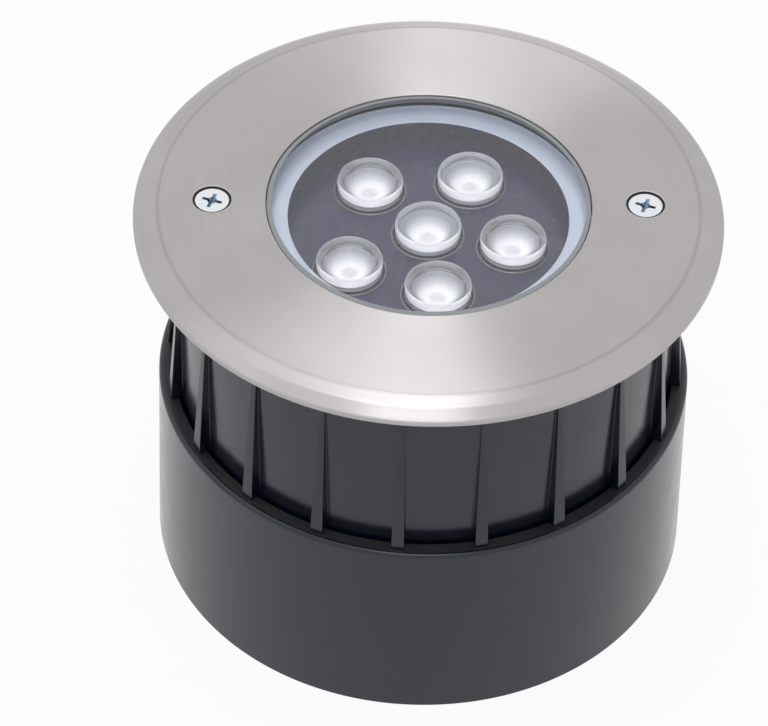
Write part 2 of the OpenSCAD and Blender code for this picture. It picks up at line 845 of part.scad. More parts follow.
// Die cast housing: flange, LED chamber, floor, driver chamber and cooling fins
module lamp_housing() {
    color("darkgray")
        difference() {
            union() {
                translate([0, 0, flange_under_z])
                    cylinder(r = flange_r, h = flange_t);
                translate([0, 0, bay_open_z])
                    cylinder(r = body_r, h = flange_under_z - bay_open_z + flange_t / 2);
                around(fin_count)
                    cooling_fin();
            }
            hole(seal_out_r + fit_gap, seal_under_z + cut, clamp_under_z);
            hole(seal_in_r, reflector_under_z + cut, clamp_under_z);
            hole(chamber_r, floor_top_z + cut, clamp_under_z);
            translate([0, 0, bay_open_z - cut])
                cylinder(r = bay_r, h = driver_bay_h + cut);
            around(trim_screw_count)
                translate([post_x, 0, 0])
                    hole(screw_d / 2 + pass_gap, flange_under_z, clamp_under_z);
            around(clamp_screw_count, 180 / clamp_screw_count)
                translate([clamp_screw_r, 0, 0])
                    hole(clamp_screw_d / 2, trim_under_z - clamp_screw_l + cut, clamp_under_z);
            at_board_screws()
                hole(small_screw_d / 2, board_top_z - board_screw_l + cut, floor_top_z);
            at_leads()
                hole(lead_hole_r, floor_under_z, floor_top_z);
            around(cover_screw_count, 180 / cover_screw_count)
                translate([cover_screw_r, 0, 0])
                    hole(small_screw_d / 2, bay_open_z, cover_under_z + cover_screw_l - cut);
        }
    color("darkgray")
        around(standoff_count)
            standoff();
}

// One cooling fin on the outside of the housing body
module cooling_fin() {
    root_r = body_r - fin_t / 2;
    translate([root_r, -fin_t / 2, bay_open_z + fin_low_gap])
        cube([fin_r - root_r, fin_t, flange_under_z - bay_open_z - fin_low_gap + flange_t / 2]);
}

// Boss in the driver chamber, tapped for a driver board screw
module standoff() {
    translate([standoff_place_r, 0, driver_top_z])
        difference() {
            cylinder(r = standoff_r, h = standoff_h + floor_t / 4);
            translate([0, 0, -cut])
                cylinder(r = small_screw_d / 2, h = driver_screw_l - board_t + cut);
        }
}

// Driver board under the housing floor
module driver_board() {
    color("forestgreen")
        difference() {
            translate([0, 0, driver_under_z])
                cylinder(r = driver_r, h = board_t);
            around(standoff_count)
                translate([standoff_place_r, 0, 0])
                    hole(small_screw_d / 2 + fit_gap, driver_under_z, driver_top_z);
        }
}

// Four screws that hold the driver board from below
module driver_screws() {
    color("silver")
        around(standoff_count)
            translate([standoff_place_r, 0, driver_under_z])
                mirror([0, 0, 1])
                    pan_screw(driver_screw_l);
}

// Transformer of the driver: core and winding
module driver_transformer() {
    core_l = driver_r / 2;
    core_w = core_l * 0.8;
    core_h = core_l * 0.7;
    place_x = -driver_r * 0.36;
    color("darkolivegreen")
        translate([place_x, 0, driver_under_z - core_h]) {
            translate([-core_l / 2, -core_w / 2, 0])
                cube([core_l, core_w, core_h]);
            translate([0, 0, core_h * 0.15])
                cylinder(r = core_l * 0.56, h = core_h * 0.55);
        }
}

// Two round capacitors of the driver
module driver_capacitors() {
    can_r = driver_r * 0.13;
    tall = driver_r * 0.4;
    color("midnightblue")
        for (side = [-1, 1])
            translate([driver_r * 0.18, side * can_r * 1.9, driver_under_z - tall])
                cylinder(r = can_r, h = tall);
}

// Terminal block for the supply cable
module terminal_block() {
    block_w = driver_r * 0.26;
    block_l = driver_r * 0.6;
    block_h = driver_r * 0.3;
    block_x = standoff_place_r - pan_head_r - 2 * standoff_clear - block_w;
    ways = 3;
    color("seagreen")
        difference() {
            translate([block_x, -block_l / 2, driver_under_z - block_h])
                cube([block_w, block_l, block_h]);
            for (i = [0 : ways - 1])
                translate([block_x + block_w / 2, (i - 1) * block_l / ways, driver_under_z - block_h])
                    cylinder(r = block_w * 0.22, h = block_h * 0.8, center = true);
        }
}

// Rear cover with its spigot, the groove of its seal and the tapped hole of the gland
module rear_cover() {
    color("darkgray")
        difference() {
            union() {
                translate([0, 0, cover_under_z])
                    cylinder(r = body_r, h = cover_t);
                translate([0, 0, bay_open_z - cover_t / 2])
                    cylinder(r = spigot_r, h = spigot_h + cover_t / 2);
            }
            ring(bay_r + cut, seal_groove_r, seal_ring_z - seal_groove_h / 2,
                seal_ring_z + seal_groove_h / 2);
            translate([0, 0, bay_open_z])
                cylinder(r = seal_groove_r - cover_t / 2, h = spigot_h + cut);
            hole(thread_r, cover_under_z, bay_open_z + spigot_h);
            around(cover_screw_count, 180 / cover_screw_count)
                translate([cover_screw_r, 0, 0])
                    hole(small_screw_d / 2 + fit_gap, cover_under_z, bay_open_z);
        }
}

// Ring seal in the groove of the rear cover
module rear_cover_seal() {
    color("black")
        translate([0, 0, seal_ring_z])
            rotate_extrude()
                translate([seal_path_r, 0])
                    circle(r = seal_ring_r);
}

// Screws that hold the rear cover from below
module rear_cover_screws() {
    color("silver")
        around(cover_screw_count, 180 / cover_screw_count)
            translate([cover_screw_r, 0, cover_under_z])
                mirror([0, 0, 1])
                    pan_screw(cover_screw_l);
}

// Gland body: thread in the cover, hexagon and the tail that takes the nut
module gland_body() {
    color("dimgray")
        difference() {
            union() {
                translate([0, 0, gland_hex_z])
                    cylinder(r = thread_r - fit_gap, h = gland_washer_t + cover_t + gland_top_stub);
                translate([0, 0, gland_hex_under_z])
                    cylinder(r = hex_r, h = gland_hex_h, $fn = 6);
                translate([0, 0, gland_tail_z])
                    cylinder(r = gland_tail_r, h = gland_tail_l + gland_hex_h / 2);
            }
            hole(gland_bore_r, gland_tail_z, cover_under_z + cover_t + gland_top_stub);
        }
}

// Flat washer seal between the gland and the rear cover
module gland_washer() {
    color("black")
        ring(gland_flats / 2 - fit_gap, thread_r, gland_hex_z, cover_under_z);
}

// Rubber seal that grips the cable
module gland_seal() {
    color("black")
        ring(gland_bore_r - fit_gap, cable_d / 2, gland_seal_under_z, gland_seal_top_z);
}

// Domed nut of the gland
module gland_nut() {
    color("dimgray")
        difference() {
            union() {
                translate([0, 0, nut_hex_under_z])
                    cylinder(r = hex_r, h = nut_hex_h, $fn = 6);
                translate([0, 0, nut_end_z])
                    cylinder(r1 = nut_nose_r, r2 = gland_flats / 2, h = nut_hex_under_z - nut_end_z);
            }
            translate([0, 0, gland_seal_under_z])
                cylinder(r = gland_tail_r + fit_gap, h = nut_top_z - gland_seal_under_z + cut);
            hole(nut_mouth_r, nut_end_z, gland_seal_under_z);
        }
}

outer_can();
ribbed_sleeve();
sleeve_inserts();
trim_ring();
trim_screws();
trim_gasket();
glass_lens();
glass_gasket();
clamp_ring();
clamp_screws();
reflector_ring();
cover_plate();
optic(0);  // optic_1
optic(1);  // optic_2
optic(2);  // optic_3
optic(3);  // optic_4
optic(4);  // optic_5
optic(5);  // optic_6
optic_holder(0);  // optic_holder_1
optic_holder(1);  // optic_holder_2
optic_holder(2);  // optic_holder_3
optic_holder(3);  // optic_holder_4
optic_holder(4);  // optic_holder_5
optic_holder(5);  // optic_holder_6
led_emitters();
led_board();
board_screws();
thermal_pad();
led_leads();
lamp_housing();
driver_board();
driver_screws();
driver_transformer();
driver_capacitors();
terminal_block();
rear_cover();
rear_cover_seal();
rear_cover_screws();
gland_body();
gland_washer();
gland_seal();
gland_nut();
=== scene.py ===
"""Looks, studio and camera of an in ground well light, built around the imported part."""

import json
import logging
import math
from collections.abc import Callable
from dataclasses import dataclass
from enum import Enum
from functools import cached_property

import bmesh
import bpy
from mathutils import Matrix, Vector

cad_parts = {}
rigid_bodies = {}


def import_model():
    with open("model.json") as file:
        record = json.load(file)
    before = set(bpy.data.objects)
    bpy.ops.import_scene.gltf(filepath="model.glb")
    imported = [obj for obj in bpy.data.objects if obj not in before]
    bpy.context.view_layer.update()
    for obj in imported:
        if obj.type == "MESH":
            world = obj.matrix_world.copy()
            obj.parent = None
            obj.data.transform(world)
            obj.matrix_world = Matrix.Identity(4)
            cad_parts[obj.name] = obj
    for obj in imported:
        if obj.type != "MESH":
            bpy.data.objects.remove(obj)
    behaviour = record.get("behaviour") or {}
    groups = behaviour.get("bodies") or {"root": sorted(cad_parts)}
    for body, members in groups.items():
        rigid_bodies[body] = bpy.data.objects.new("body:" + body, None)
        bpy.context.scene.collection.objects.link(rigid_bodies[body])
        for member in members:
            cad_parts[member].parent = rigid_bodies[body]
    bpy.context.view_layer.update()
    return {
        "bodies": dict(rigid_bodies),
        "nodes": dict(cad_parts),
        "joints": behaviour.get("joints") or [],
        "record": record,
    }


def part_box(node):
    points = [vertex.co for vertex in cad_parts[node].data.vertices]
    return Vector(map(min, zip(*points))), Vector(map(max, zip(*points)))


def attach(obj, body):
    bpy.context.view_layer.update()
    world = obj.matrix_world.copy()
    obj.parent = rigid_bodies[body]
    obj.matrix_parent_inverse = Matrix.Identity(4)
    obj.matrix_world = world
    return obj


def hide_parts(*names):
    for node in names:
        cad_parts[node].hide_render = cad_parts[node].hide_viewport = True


log = logging.getLogger("well_light")

Colour = tuple[float, float, float]
Point = tuple[float, float, float]
Profile = list[tuple[float, float]]
Mesh = bmesh.types.BMesh
Node = bpy.types.Node
Piece = bpy.types.Object
Socket = bpy.types.NodeSocket

MM = 0.001
FULL_TURN = 2 * math.pi
# Metres within which two places are one, within which two spun vertices are one, and under
# which an edge is dropped
SLACK = 1e-6
WELD = 1e-7
SPECK = 1e-8
# Segments of the rounding of a section's corner, and of a CAD node's edge
CORNER_STEPS = 4
EDGE_STEPS = 2
# Degrees up to which two faces of a CAD node are one flat face
FLAT_DEGREES = 0.6
# Strength with which large faces hold the normals
FACE_WEIGHT = 80
# Least rise of the normal of a level face
LEVEL = 0.99
# Reach in millimetres of the slow changes of tone and gloss over a surface
PLASTIC_DRIFT_MM = 18
FLOW_MARKS_MM = 6
METAL_DRIFT_MM = 25
GLASS_SMEAR_MM = 30


class Body(Enum):
    """The two bodies of the part."""

    SLEEVE = "sleeve"
    LAMP = "lamp"


class Lay(Enum):
    """The direction in which the marks of a metal finish run."""

    CIRCULAR = "circular"
    CAST = "cast"
    PLATED = "plated"


# ---------------------------------------------------------------- wiring of materials


class Wiring:
    """The node tree of a material or of the world, with short calls for the nodes used here."""

    def __init__(self, owner: bpy.types.Material | bpy.types.World, output: str) -> None:
        """Starts an empty node tree.

        Args:
            owner: The material or world that it belongs to.
            output: Blender's name of its output node.
        """
        self.owner = owner
        owner.use_nodes = True
        self.nodes = owner.node_tree.nodes
        self.links = owner.node_tree.links
        self.nodes.clear()
        self.output = self.nodes.new(output)

    @cached_property
    def place(self) -> Socket:
        """Object coordinates."""
        return self.add("ShaderNodeTexCoord").outputs["Object"]

    def feed(self, socket: Socket, value: object) -> None:
        """Links a socket to another one, or sets its value.

        Args:
            socket: The input that is fed.
            value: An output socket, a number, a colour or a vector.
        """
        if isinstance(value, Socket):
            self.links.new(value, socket)
        else:
            socket.default_value = value

    def add(self, kind: str, feeds: dict | None = None, **settings: object) -> Node:
        """Adds a node.

        Args:
            kind: Blender's name of the node.
            feeds: Inputs by name or number, each a value or a socket.
            **settings: Attributes of the node.

        Returns:
            The new node.
        """
        node = self.nodes.new(kind)
        for key, value in settings.items():
            setattr(node, key, value)
        for key, value in (feeds or {}).items():
            self.feed(node.inputs[key], value)
        return node

    def maths(self, operation: str, first: object, second: object = 0.0) -> Socket:
        """Adds a Math node and returns its output."""
        return self.add("ShaderNodeMath", {0: first, 1: second}, operation=operation).outputs[0]

    def vectors(self, operation: str, first: object, second: object = (0, 0, 0)) -> Node:
        """Adds a Vector Math node and returns it."""
        return self.add("ShaderNodeVectorMath", {0: first, 1: second}, operation=operation)

    def noise(self, scale: float, detail: float = 2.0, vector: Socket | None = None) -> Socket:
        """Adds a Noise Texture.

        Args:
            scale: Number of features per metre, or per unit of the vector.
            detail: Octaves of finer noise.
            vector: Where it is read, Object coordinates if None.

        Returns:
            The value output.
        """
        feeds = {"Vector": vector or self.place, "Scale": scale, "Detail": detail}
        return self.add("ShaderNodeTexNoise", feeds).outputs["Fac"]

    def spread(
        self, value: Socket, low: float, high: float, start: float = 0.3, end: float = 0.7
    ) -> Socket:
        """Maps a noise value to a range.

        Args:
            value: The value that is mapped.
            low: Result at the start.
            high: Result at the end.
            start: Value that gives the low result.
            end: Value that gives the high result.

        Returns:
            The mapped value.
        """
        feeds = {"Value": value, "From Min": start, "From Max": end, "To Min": low, "To Max": high}
        return self.add("ShaderNodeMapRange", feeds).outputs["Result"]

    def tones(self, factor: Socket, first: Colour, second: Colour) -> Socket:
        """Mixes two colours.

        Args:
            factor: Share of the second colour.
            first: Colour at zero.
            second: Colour at one.

        Returns:
            The colour output.
        """
        node = self.add("ShaderNodeMix", {"Factor": factor}, data_type="RGBA")
        node.inputs["A"].default_value = (*first, 1.0)
        node.inputs["B"].default_value = (*second, 1.0)
        return node.outputs["Result"]

    def bump(self, height: Socket, depth_mm: float) -> Socket:
        """Adds a Bump node.

        Args:
            height: Height from 0 to 1.
            depth_mm: Depth of the relief in millimetres.

        Returns:
            The normal output.
        """
        feeds = {"Height": height, "Distance": depth_mm * MM}
        return self.add("ShaderNodeBump", feeds).outputs["Normal"]

    def ring_place(self) -> tuple[Socket, Socket]:
        """Gives the distance from the Z axis, and the direction out from it.

        Returns:
            The distance in metres and the unit vector.
        """
        flat = self.vectors("MULTIPLY", self.place, (1.0, 1.0, 0.0)).outputs[0]
        distance = self.vectors("LENGTH", flat).outputs["Value"]
        return distance, self.vectors("NORMALIZE", flat).outputs[0]

    def seen(self) -> Socket:
        """Tells the rays that see a surface from those that carry light off it.

        Returns:
            One for camera, glossy and transmission rays, zero for the others.
        """
        path = self.add("ShaderNodeLightPath")
        seen = self.maths("MAXIMUM", path.outputs["Is Camera Ray"], path.outputs["Is Glossy Ray"])
        return self.maths("MAXIMUM", seen, path.outputs["Is Transmission Ray"])

    def principled(self, **feeds: object) -> Node:
        """Adds a Principled BSDF, its inputs named with underscores for spaces.

        Args:
            **feeds: Inputs, such as Base_Color or Coat_Weight.

        Returns:
            The shader node.
        """
        named = {key.replace("_", " "): value for key, value in feeds.items()}
        return self.add("ShaderNodeBsdfPrincipled", named)

    def close(self, shader: Socket) -> None:
        """Links the shader to the output."""
        self.links.new(shader, self.output.inputs["Surface"])


class Finish:
    """A surface finish, made into a material once and then shared.

    Attributes:
        name: Name of the material.
        made: The materials made so far, by name.
    """

    name: str
    made: dict[str, bpy.types.Material] = {}

    def wire(self, wiring: Wiring) -> Socket:
        """Wires the shader of this finish and returns its output."""
        raise NotImplementedError

    def material(self) -> bpy.types.Material:
        """Gives the material of this finish.

        Returns:
            The material, made at the first use.
        """
        if self.name not in Finish.made:
            wiring = Wiring(bpy.data.materials.new(self.name), "ShaderNodeOutputMaterial")
            wiring.close(self.wire(wiring))
            Finish.made[self.name] = wiring.owner
        return Finish.made[self.name]


@dataclass(frozen=True)
class Moulded(Finish):
    """Moulded plastic, rubber, paper or a printed mask: dielectric, with a grain and slight flow marks.

    Attributes:
        name: Name of the material.
        colour: Main colour.
        tint: Colour of the slight variation.
        rough: Lowest and highest roughness.
        grain_mm: Size of the grain.
        grain_depth_mm: Depth of the grain.
        coat: Weight of a clear coat.
        specular: Specular level.
        gloss: Tint of the gloss.
        coat_rough: Roughness of the clear coat.
    """

    name: str
    colour: Colour
    tint: Colour
    rough: tuple[float, float] = (0.4, 0.5)
    grain_mm: float = 0.5
    grain_depth_mm: float = 0.01
    coat: float = 0.0
    specular: float = 0.5
    gloss: Colour = (1.0, 1.0, 1.0)
    coat_rough: float = 0.08

    def wire(self, wiring: Wiring) -> Socket:
        """Wires grain, flow marks and colour drift.

        Args:
            wiring: The empty material.

        Returns:
            The shader output.
        """
        grain = wiring.noise(1 / (self.grain_mm * MM), 3.0)
        drift = wiring.noise(1 / (PLASTIC_DRIFT_MM * MM))
        shader = wiring.principled(
            Base_Color=wiring.tones(wiring.spread(drift, 0.0, 1.0), self.colour, self.tint),
            Roughness=wiring.spread(wiring.noise(1 / (FLOW_MARKS_MM * MM), 3.0), *self.rough),
            Normal=wiring.bump(grain, self.grain_depth_mm),
        )
        shader.inputs["Coat Weight"].default_value = self.coat
        shader.inputs["Coat Roughness"].default_value = self.coat_rough
        shader.inputs["Specular IOR Level"].default_value = self.specular
        shader.inputs["Specular Tint"].default_value = (*self.gloss, 1.0)
        return shader.outputs["BSDF"]


@dataclass(frozen=True)
class Metal(Finish):
    """Metal, with marks that run round the axis, or with a cast or plated skin.

    Attributes:
        name: Name of the material.
        colour: Main colour.
        tint: Colour of the slight variation.
        lay: How the marks run.
        rough: Lowest and highest roughness.
        marks_mm: Pitch of the marks, or size of the grain.
        depth_mm: Depth of the marks.
        stretch: Anisotropy of a circular lay.
        metallic: Share of bare metal, less where a paint or haze covers it.
        shade_line_mm: Radius of a painted shade line at a crease, or 0 for none.
        painted_lift: Radii in millimetres of a painted light, a rise of tone outwards, and the rise.
        shade_line_tone: Tone of this painted shade line against the faces beside it.
        shade_line_fade_mm: Distance over which this painted shade line fades.
        change: How much a circular lay changes along its marks.
    """

    name: str
    colour: Colour
    tint: Colour
    lay: Lay
    rough: tuple[float, float] = (0.25, 0.35)
    marks_mm: float = 0.3
    depth_mm: float = 0.004
    stretch: float = 0.0
    metallic: float = 1.0
    shade_line_mm: float = 0.0
    painted_lift: tuple[float, float, float] | None = None
    shade_line_tone: float = 0.82
    shade_line_fade_mm: float = 0.8
    change: float = 3.0

    def wire(self, wiring: Wiring) -> Socket:
        """Wires the marks into colour, roughness and relief, with painted shade and light where set.

        Args:
            wiring: The empty material.

        Returns:
            The shader output.
        """
        if self.lay is Lay.CIRCULAR:
            distance, out = wiring.ring_place()
            across = wiring.maths("MULTIPLY", distance, 1 / (self.marks_mm * MM))
            turn = wiring.vectors("MULTIPLY", out, (self.change, self.change, 0.0)).outputs[0]
            rise = wiring.add("ShaderNodeCombineXYZ", {"Z": across}).outputs[0]
            spot = wiring.vectors("ADD", turn, rise).outputs[0]
            marks = wiring.noise(1.0, 3.0, spot)
            tangent = out
        else:
            marks = wiring.noise(1 / (self.marks_mm * MM), 4.0)
            tangent = None
        drift = wiring.spread(wiring.noise(1 / (METAL_DRIFT_MM * MM)), 0.0, 1.0)
        tone = wiring.tones(drift, self.colour, self.tint)
        # Painted shade: the tone is darkened in a line at the crease radius.
        if self.shade_line_mm:
            away = wiring.maths("SUBTRACT", wiring.ring_place()[0], self.shade_line_mm * MM)
            away = wiring.maths("ABSOLUTE", away)
            dull = wiring.spread(away, self.shade_line_tone, 1.0, 0.0, self.shade_line_fade_mm * MM)
            tone = wiring.vectors("MULTIPLY", tone, dull).outputs[0]
        # Painted light: the tone rises outwards, against the shade that falls on the outer part.
        if self.painted_lift:
            start, end, gain = self.painted_lift
            painted_rise = wiring.spread(wiring.ring_place()[0], 1.0, gain, start * MM, end * MM)
            tone = wiring.vectors("MULTIPLY", tone, painted_rise).outputs[0]
        shader = wiring.principled(
            Base_Color=tone,
            Roughness=wiring.spread(marks, *self.rough),
            Normal=wiring.bump(marks, self.depth_mm),
        )
        shader.inputs["Metallic"].default_value = self.metallic
        shader.inputs["Anisotropic"].default_value = self.stretch
        if tangent is not None:
            wiring.feed(shader.inputs["Tangent"], tangent)
        return shader.outputs["BSDF"]


@dataclass(frozen=True)
class Clear(Finish):
    """Clear glass or plastic that lets the studio light through to what it covers.

    Attributes:
        name: Name of the material.
        colour: Colour of the body.
        ior: Index of refraction.
        rough: Roughness of the surface.
        shade: Share of the light that passes in shadow rays.
        milk: Share of a dull white haze.
        smear: Rise of the roughness where the surface is smeared.
    """

    name: str
    colour: Colour
    ior: float = 1.5
    rough: float = 0.0
    shade: float = 0.95
    milk: float = 0.0
    smear: float = 0.01

    def wire(self, wiring: Wiring) -> Socket:
        """Wires a refracting body whose shadow is light.

        Args:
            wiring: The empty material.

        Returns:
            The shader output.
        """
        smears = wiring.noise(1 / (GLASS_SMEAR_MM * MM))
        rough = wiring.spread(smears, self.rough, self.rough + self.smear)
        body = wiring.principled(Roughness=rough)
        body.inputs["Base Color"].default_value = (*self.colour, 1.0)
        body.inputs["Transmission Weight"].default_value = 1.0 - self.milk
        body.inputs["IOR"].default_value = self.ior
        passing = wiring.add("ShaderNodeBsdfTransparent")
        passing.inputs["Color"].default_value = (self.shade, self.shade, self.shade, 1.0)
        ray = wiring.add("ShaderNodeLightPath").outputs["Is Shadow Ray"]
        feeds = {0: ray, 1: body.outputs["BSDF"], 2: passing.outputs[0]}
        return wiring.add("ShaderNodeMixShader", feeds).outputs[0]


BLACK_PLASTIC = Moulded(
    "black_plastic", (0.004, 0.006, 0.014), (0.005, 0.007, 0.016), (0.17, 0.23), 0.35, 0.003,
    specular=0.58, gloss=(0.92, 0.925, 1.0),
)
WORN_PLASTIC = Moulded(
    "worn_plastic", (0.017, 0.016, 0.020), (0.031, 0.028, 0.032), (0.42, 0.56), 0.3, 0.012
)
SEAL_RUBBER = Moulded(
    "seal_rubber", (0.02, 0.02, 0.022), (0.03, 0.03, 0.032), (0.6, 0.75), 0.3, 0.02
)
HOLDER_BLACK = Moulded(
    "holder_black", (0.02, 0.02, 0.024), (0.03, 0.03, 0.034), (0.45, 0.55), 0.4, 0.01
)
GLAND_NYLON = Moulded(
    "gland_nylon", (0.035, 0.035, 0.04), (0.045, 0.045, 0.05), (0.4, 0.5), 0.5, 0.01
)
DARK_PLATE = Moulded(
    "dark_plate", (0.012, 0.012, 0.060), (0.014, 0.014, 0.065), (0.26, 0.28), 0.3, 0.0005,
    coat=0.1, specular=0.38,
)
BOARD_WHITE = Moulded("board_white", (0.78, 0.79, 0.78), (0.72, 0.73, 0.72), (0.3, 0.4), 0.2, 0.004)
PAD_GREY = Moulded("pad_grey", (0.36, 0.38, 0.4), (0.42, 0.44, 0.46), (0.6, 0.7), 0.3, 0.02)
LEAD_RED = Moulded("lead_red", (0.5, 0.03, 0.025), (0.56, 0.04, 0.03), (0.35, 0.45), 0.3, 0.005)
CIRCUIT_GREEN = Moulded(
    "circuit_green", (0.02, 0.17, 0.06), (0.03, 0.21, 0.08), (0.25, 0.35), 0.4, 0.006
)
WINDING_YELLOW = Moulded(
    "winding_yellow", (0.62, 0.45, 0.06), (0.7, 0.52, 0.1), (0.3, 0.4), 0.8, 0.02
)
CAPACITOR_SLEEVE = Moulded(
    "capacitor_sleeve", (0.02, 0.025, 0.09), (0.03, 0.035, 0.11), (0.15, 0.25), 0.5, 0.004
)
TERMINAL_GREEN = Moulded(
    "terminal_green", (0.03, 0.26, 0.09), (0.04, 0.3, 0.11), (0.35, 0.45), 0.4, 0.006
)
LED_PHOSPHOR = Moulded(
    "led_phosphor", (0.86, 0.72, 0.25), (0.9, 0.78, 0.32), (0.2, 0.3), 0.2, 0.004
)
# Trim steel, with a painted shade line at the crease between its flat face and its bevel.
TRIM_STEEL = Metal(
    "trim_steel", (0.455, 0.434, 0.439), (0.485, 0.464, 0.468), Lay.CIRCULAR, (0.28, 0.36), 0.35, 0.002,
    stretch=1.0, shade_line_mm=73.3,
)
# Painted shade: a darker bluish metal for the cross recess of a screw.
CROSS_PAINTED_SHADE = Metal(
    "cross_recess_painted_shade", (0.24, 0.33, 0.42), (0.30, 0.39, 0.48), Lay.PLATED, (0.4, 0.5), 0.4, 0.004
)
# Painted shade: near black for the recess round a trim screw head.
RECESS_PAINTED_SHADE = Moulded(
    "recess_painted_shade", (0.012, 0.012, 0.015), (0.02, 0.02, 0.024), (0.5, 0.6), 0.3, 0.004
)
SCREW_STEEL = Metal(
    "screw_steel", (0.74, 0.76, 0.79), (0.78, 0.80, 0.83), Lay.PLATED, (0.16, 0.26), 0.5, 0.004
)
CLAMP_STEEL = Metal(
    "clamp_steel", (0.55, 0.55, 0.55), (0.6, 0.6, 0.6), Lay.CIRCULAR, (0.25, 0.35), 0.25, 0.004, 0.5
)
# Silver coat, painted paler outwards as painted light against the shade under the trim's opening.
SILVER_COAT = Metal(
    "silver_coat", (0.40, 0.435, 0.54), (0.43, 0.465, 0.57), Lay.CIRCULAR, (0.4, 0.48), 0.3, 0.002,
    stretch=0.2, metallic=0.15, painted_lift=(35.0, 41.5, 1.5),
)
CAST_ALLOY = Metal(
    "cast_alloy", (0.42, 0.425, 0.43), (0.48, 0.485, 0.49), Lay.CAST, (0.45, 0.6), 0.4, 0.03
)
INSERT_BRASS = Metal(
    "insert_brass", (0.75, 0.55, 0.25), (0.8, 0.6, 0.3), Lay.CIRCULAR, (0.2, 0.3), 0.2, 0.004, 0.3
)
GROUND_BEVEL = Moulded(
    "ground_bevel", (0.29, 0.30, 0.315), (0.32, 0.33, 0.345), (0.45, 0.55), 0.15, 0.004
)
# Ground side of the glass, its opaque dark slate tone painted shade.
GROUND_EDGE_PAINTED_SHADE = Moulded(
    "ground_edge_painted_shade", (0.20, 0.21, 0.255), (0.23, 0.24, 0.285), (0.5, 0.6), 0.2, 0.004
)
CLEAR_GLASS = Clear("clear_glass", (0.97, 0.99, 0.985), 1.52)
CLEAR_OPTIC = Clear("clear_optic", (0.93, 0.935, 0.99), 1.49, 0.02, 1.0, 0.2)
BEADED_FACE = Clear("beaded_face", (0.965, 0.955, 0.98), 1.49, 0.03, 1.0, 0.0)
LIP_GLOSS = Moulded(
    "lip_gloss", (0.10, 0.10, 0.14), (0.11, 0.11, 0.15), (0.12, 0.16), 0.2, 0.001,
    coat=1.0, specular=1.0,
)
# Milky outside of an optic's skirt, and the milky bead crowns that are painted glints.
MILKY_SKIRT_AND_BEAD_GLINTS = Clear("milky_skirt_and_bead_glints", (0.965, 0.955, 0.98), 1.49, 0.03, 1.0, 0.26)


@dataclass(frozen=True)
class SilveredCone(Finish):
    """Silvery cone of an optic, with painted light: bright at its foot and dull at its wide end.

    Attributes:
        name: Name of the material.
        foot: Colour at the foot.
        wide: Colour at the wide end.
        foot_mm: Height of the foot.
        wide_mm: Height of the wide end.
        painted_glow: Strength of a painted glow at the foot, for light an optic gathers.
        glow: Colour of this painted glow.
        metallic: Share of bare metal.
        rough: Lowest and highest roughness.
        marks_mm: Pitch of the marks down the cone.
        depth_mm: Depth of the marks.
        stretch: Change of the marks along their run, against the change across it.
    """

    name: str = "silvered_cone"
    foot: Colour = (0.90, 0.88, 0.92)
    wide: Colour = (0.39, 0.41, 0.50)
    foot_mm: float = 99.5
    wide_mm: float = 105.0
    painted_glow: float = 0.32
    glow: Colour = (1.0, 0.97, 1.0)
    metallic: float = 0.12
    rough: tuple[float, float] = (0.3, 0.4)
    marks_mm: float = 0.5
    depth_mm: float = 0.02
    stretch: float = 0.05

    def wire(self, wiring: Wiring) -> Socket:
        """Wires the painted change of tone and glow with the height, and fine marks down the cone.

        Args:
            wiring: The empty material.

        Returns:
            The shader output.
        """
        height = wiring.add("ShaderNodeSeparateXYZ", {0: wiring.place}).outputs["Z"]
        depth = wiring.spread(height, 0.0, 1.0, self.foot_mm * MM, self.wide_mm * MM)
        stretched = wiring.vectors("MULTIPLY", wiring.place, (1.0, 1.0, self.stretch)).outputs[0]
        marks = wiring.noise(1 / (self.marks_mm * MM), 2.0, stretched)
        # Painted light: the tone runs from bright at the foot to dull at the wide end.
        shader = wiring.principled(
            Base_Color=wiring.tones(depth, self.foot, self.wide),
            Roughness=wiring.spread(marks, *self.rough),
            Normal=wiring.bump(marks, self.depth_mm),
        )
        shader.inputs["Metallic"].default_value = self.metallic
        # Painted glow at the foot, though the optic is no lamp.
        shader.inputs["Emission Color"].default_value = (*self.glow, 1.0)
        painted_glow = wiring.maths("MULTIPLY", wiring.maths("SUBTRACT", 1.0, depth), self.painted_glow)
        wiring.feed(shader.inputs["Emission Strength"], painted_glow)
        return shader.outputs["BSDF"]


SILVERED_CONE = SilveredCone()


# ---------------------------------------------------------------- meshes and pieces


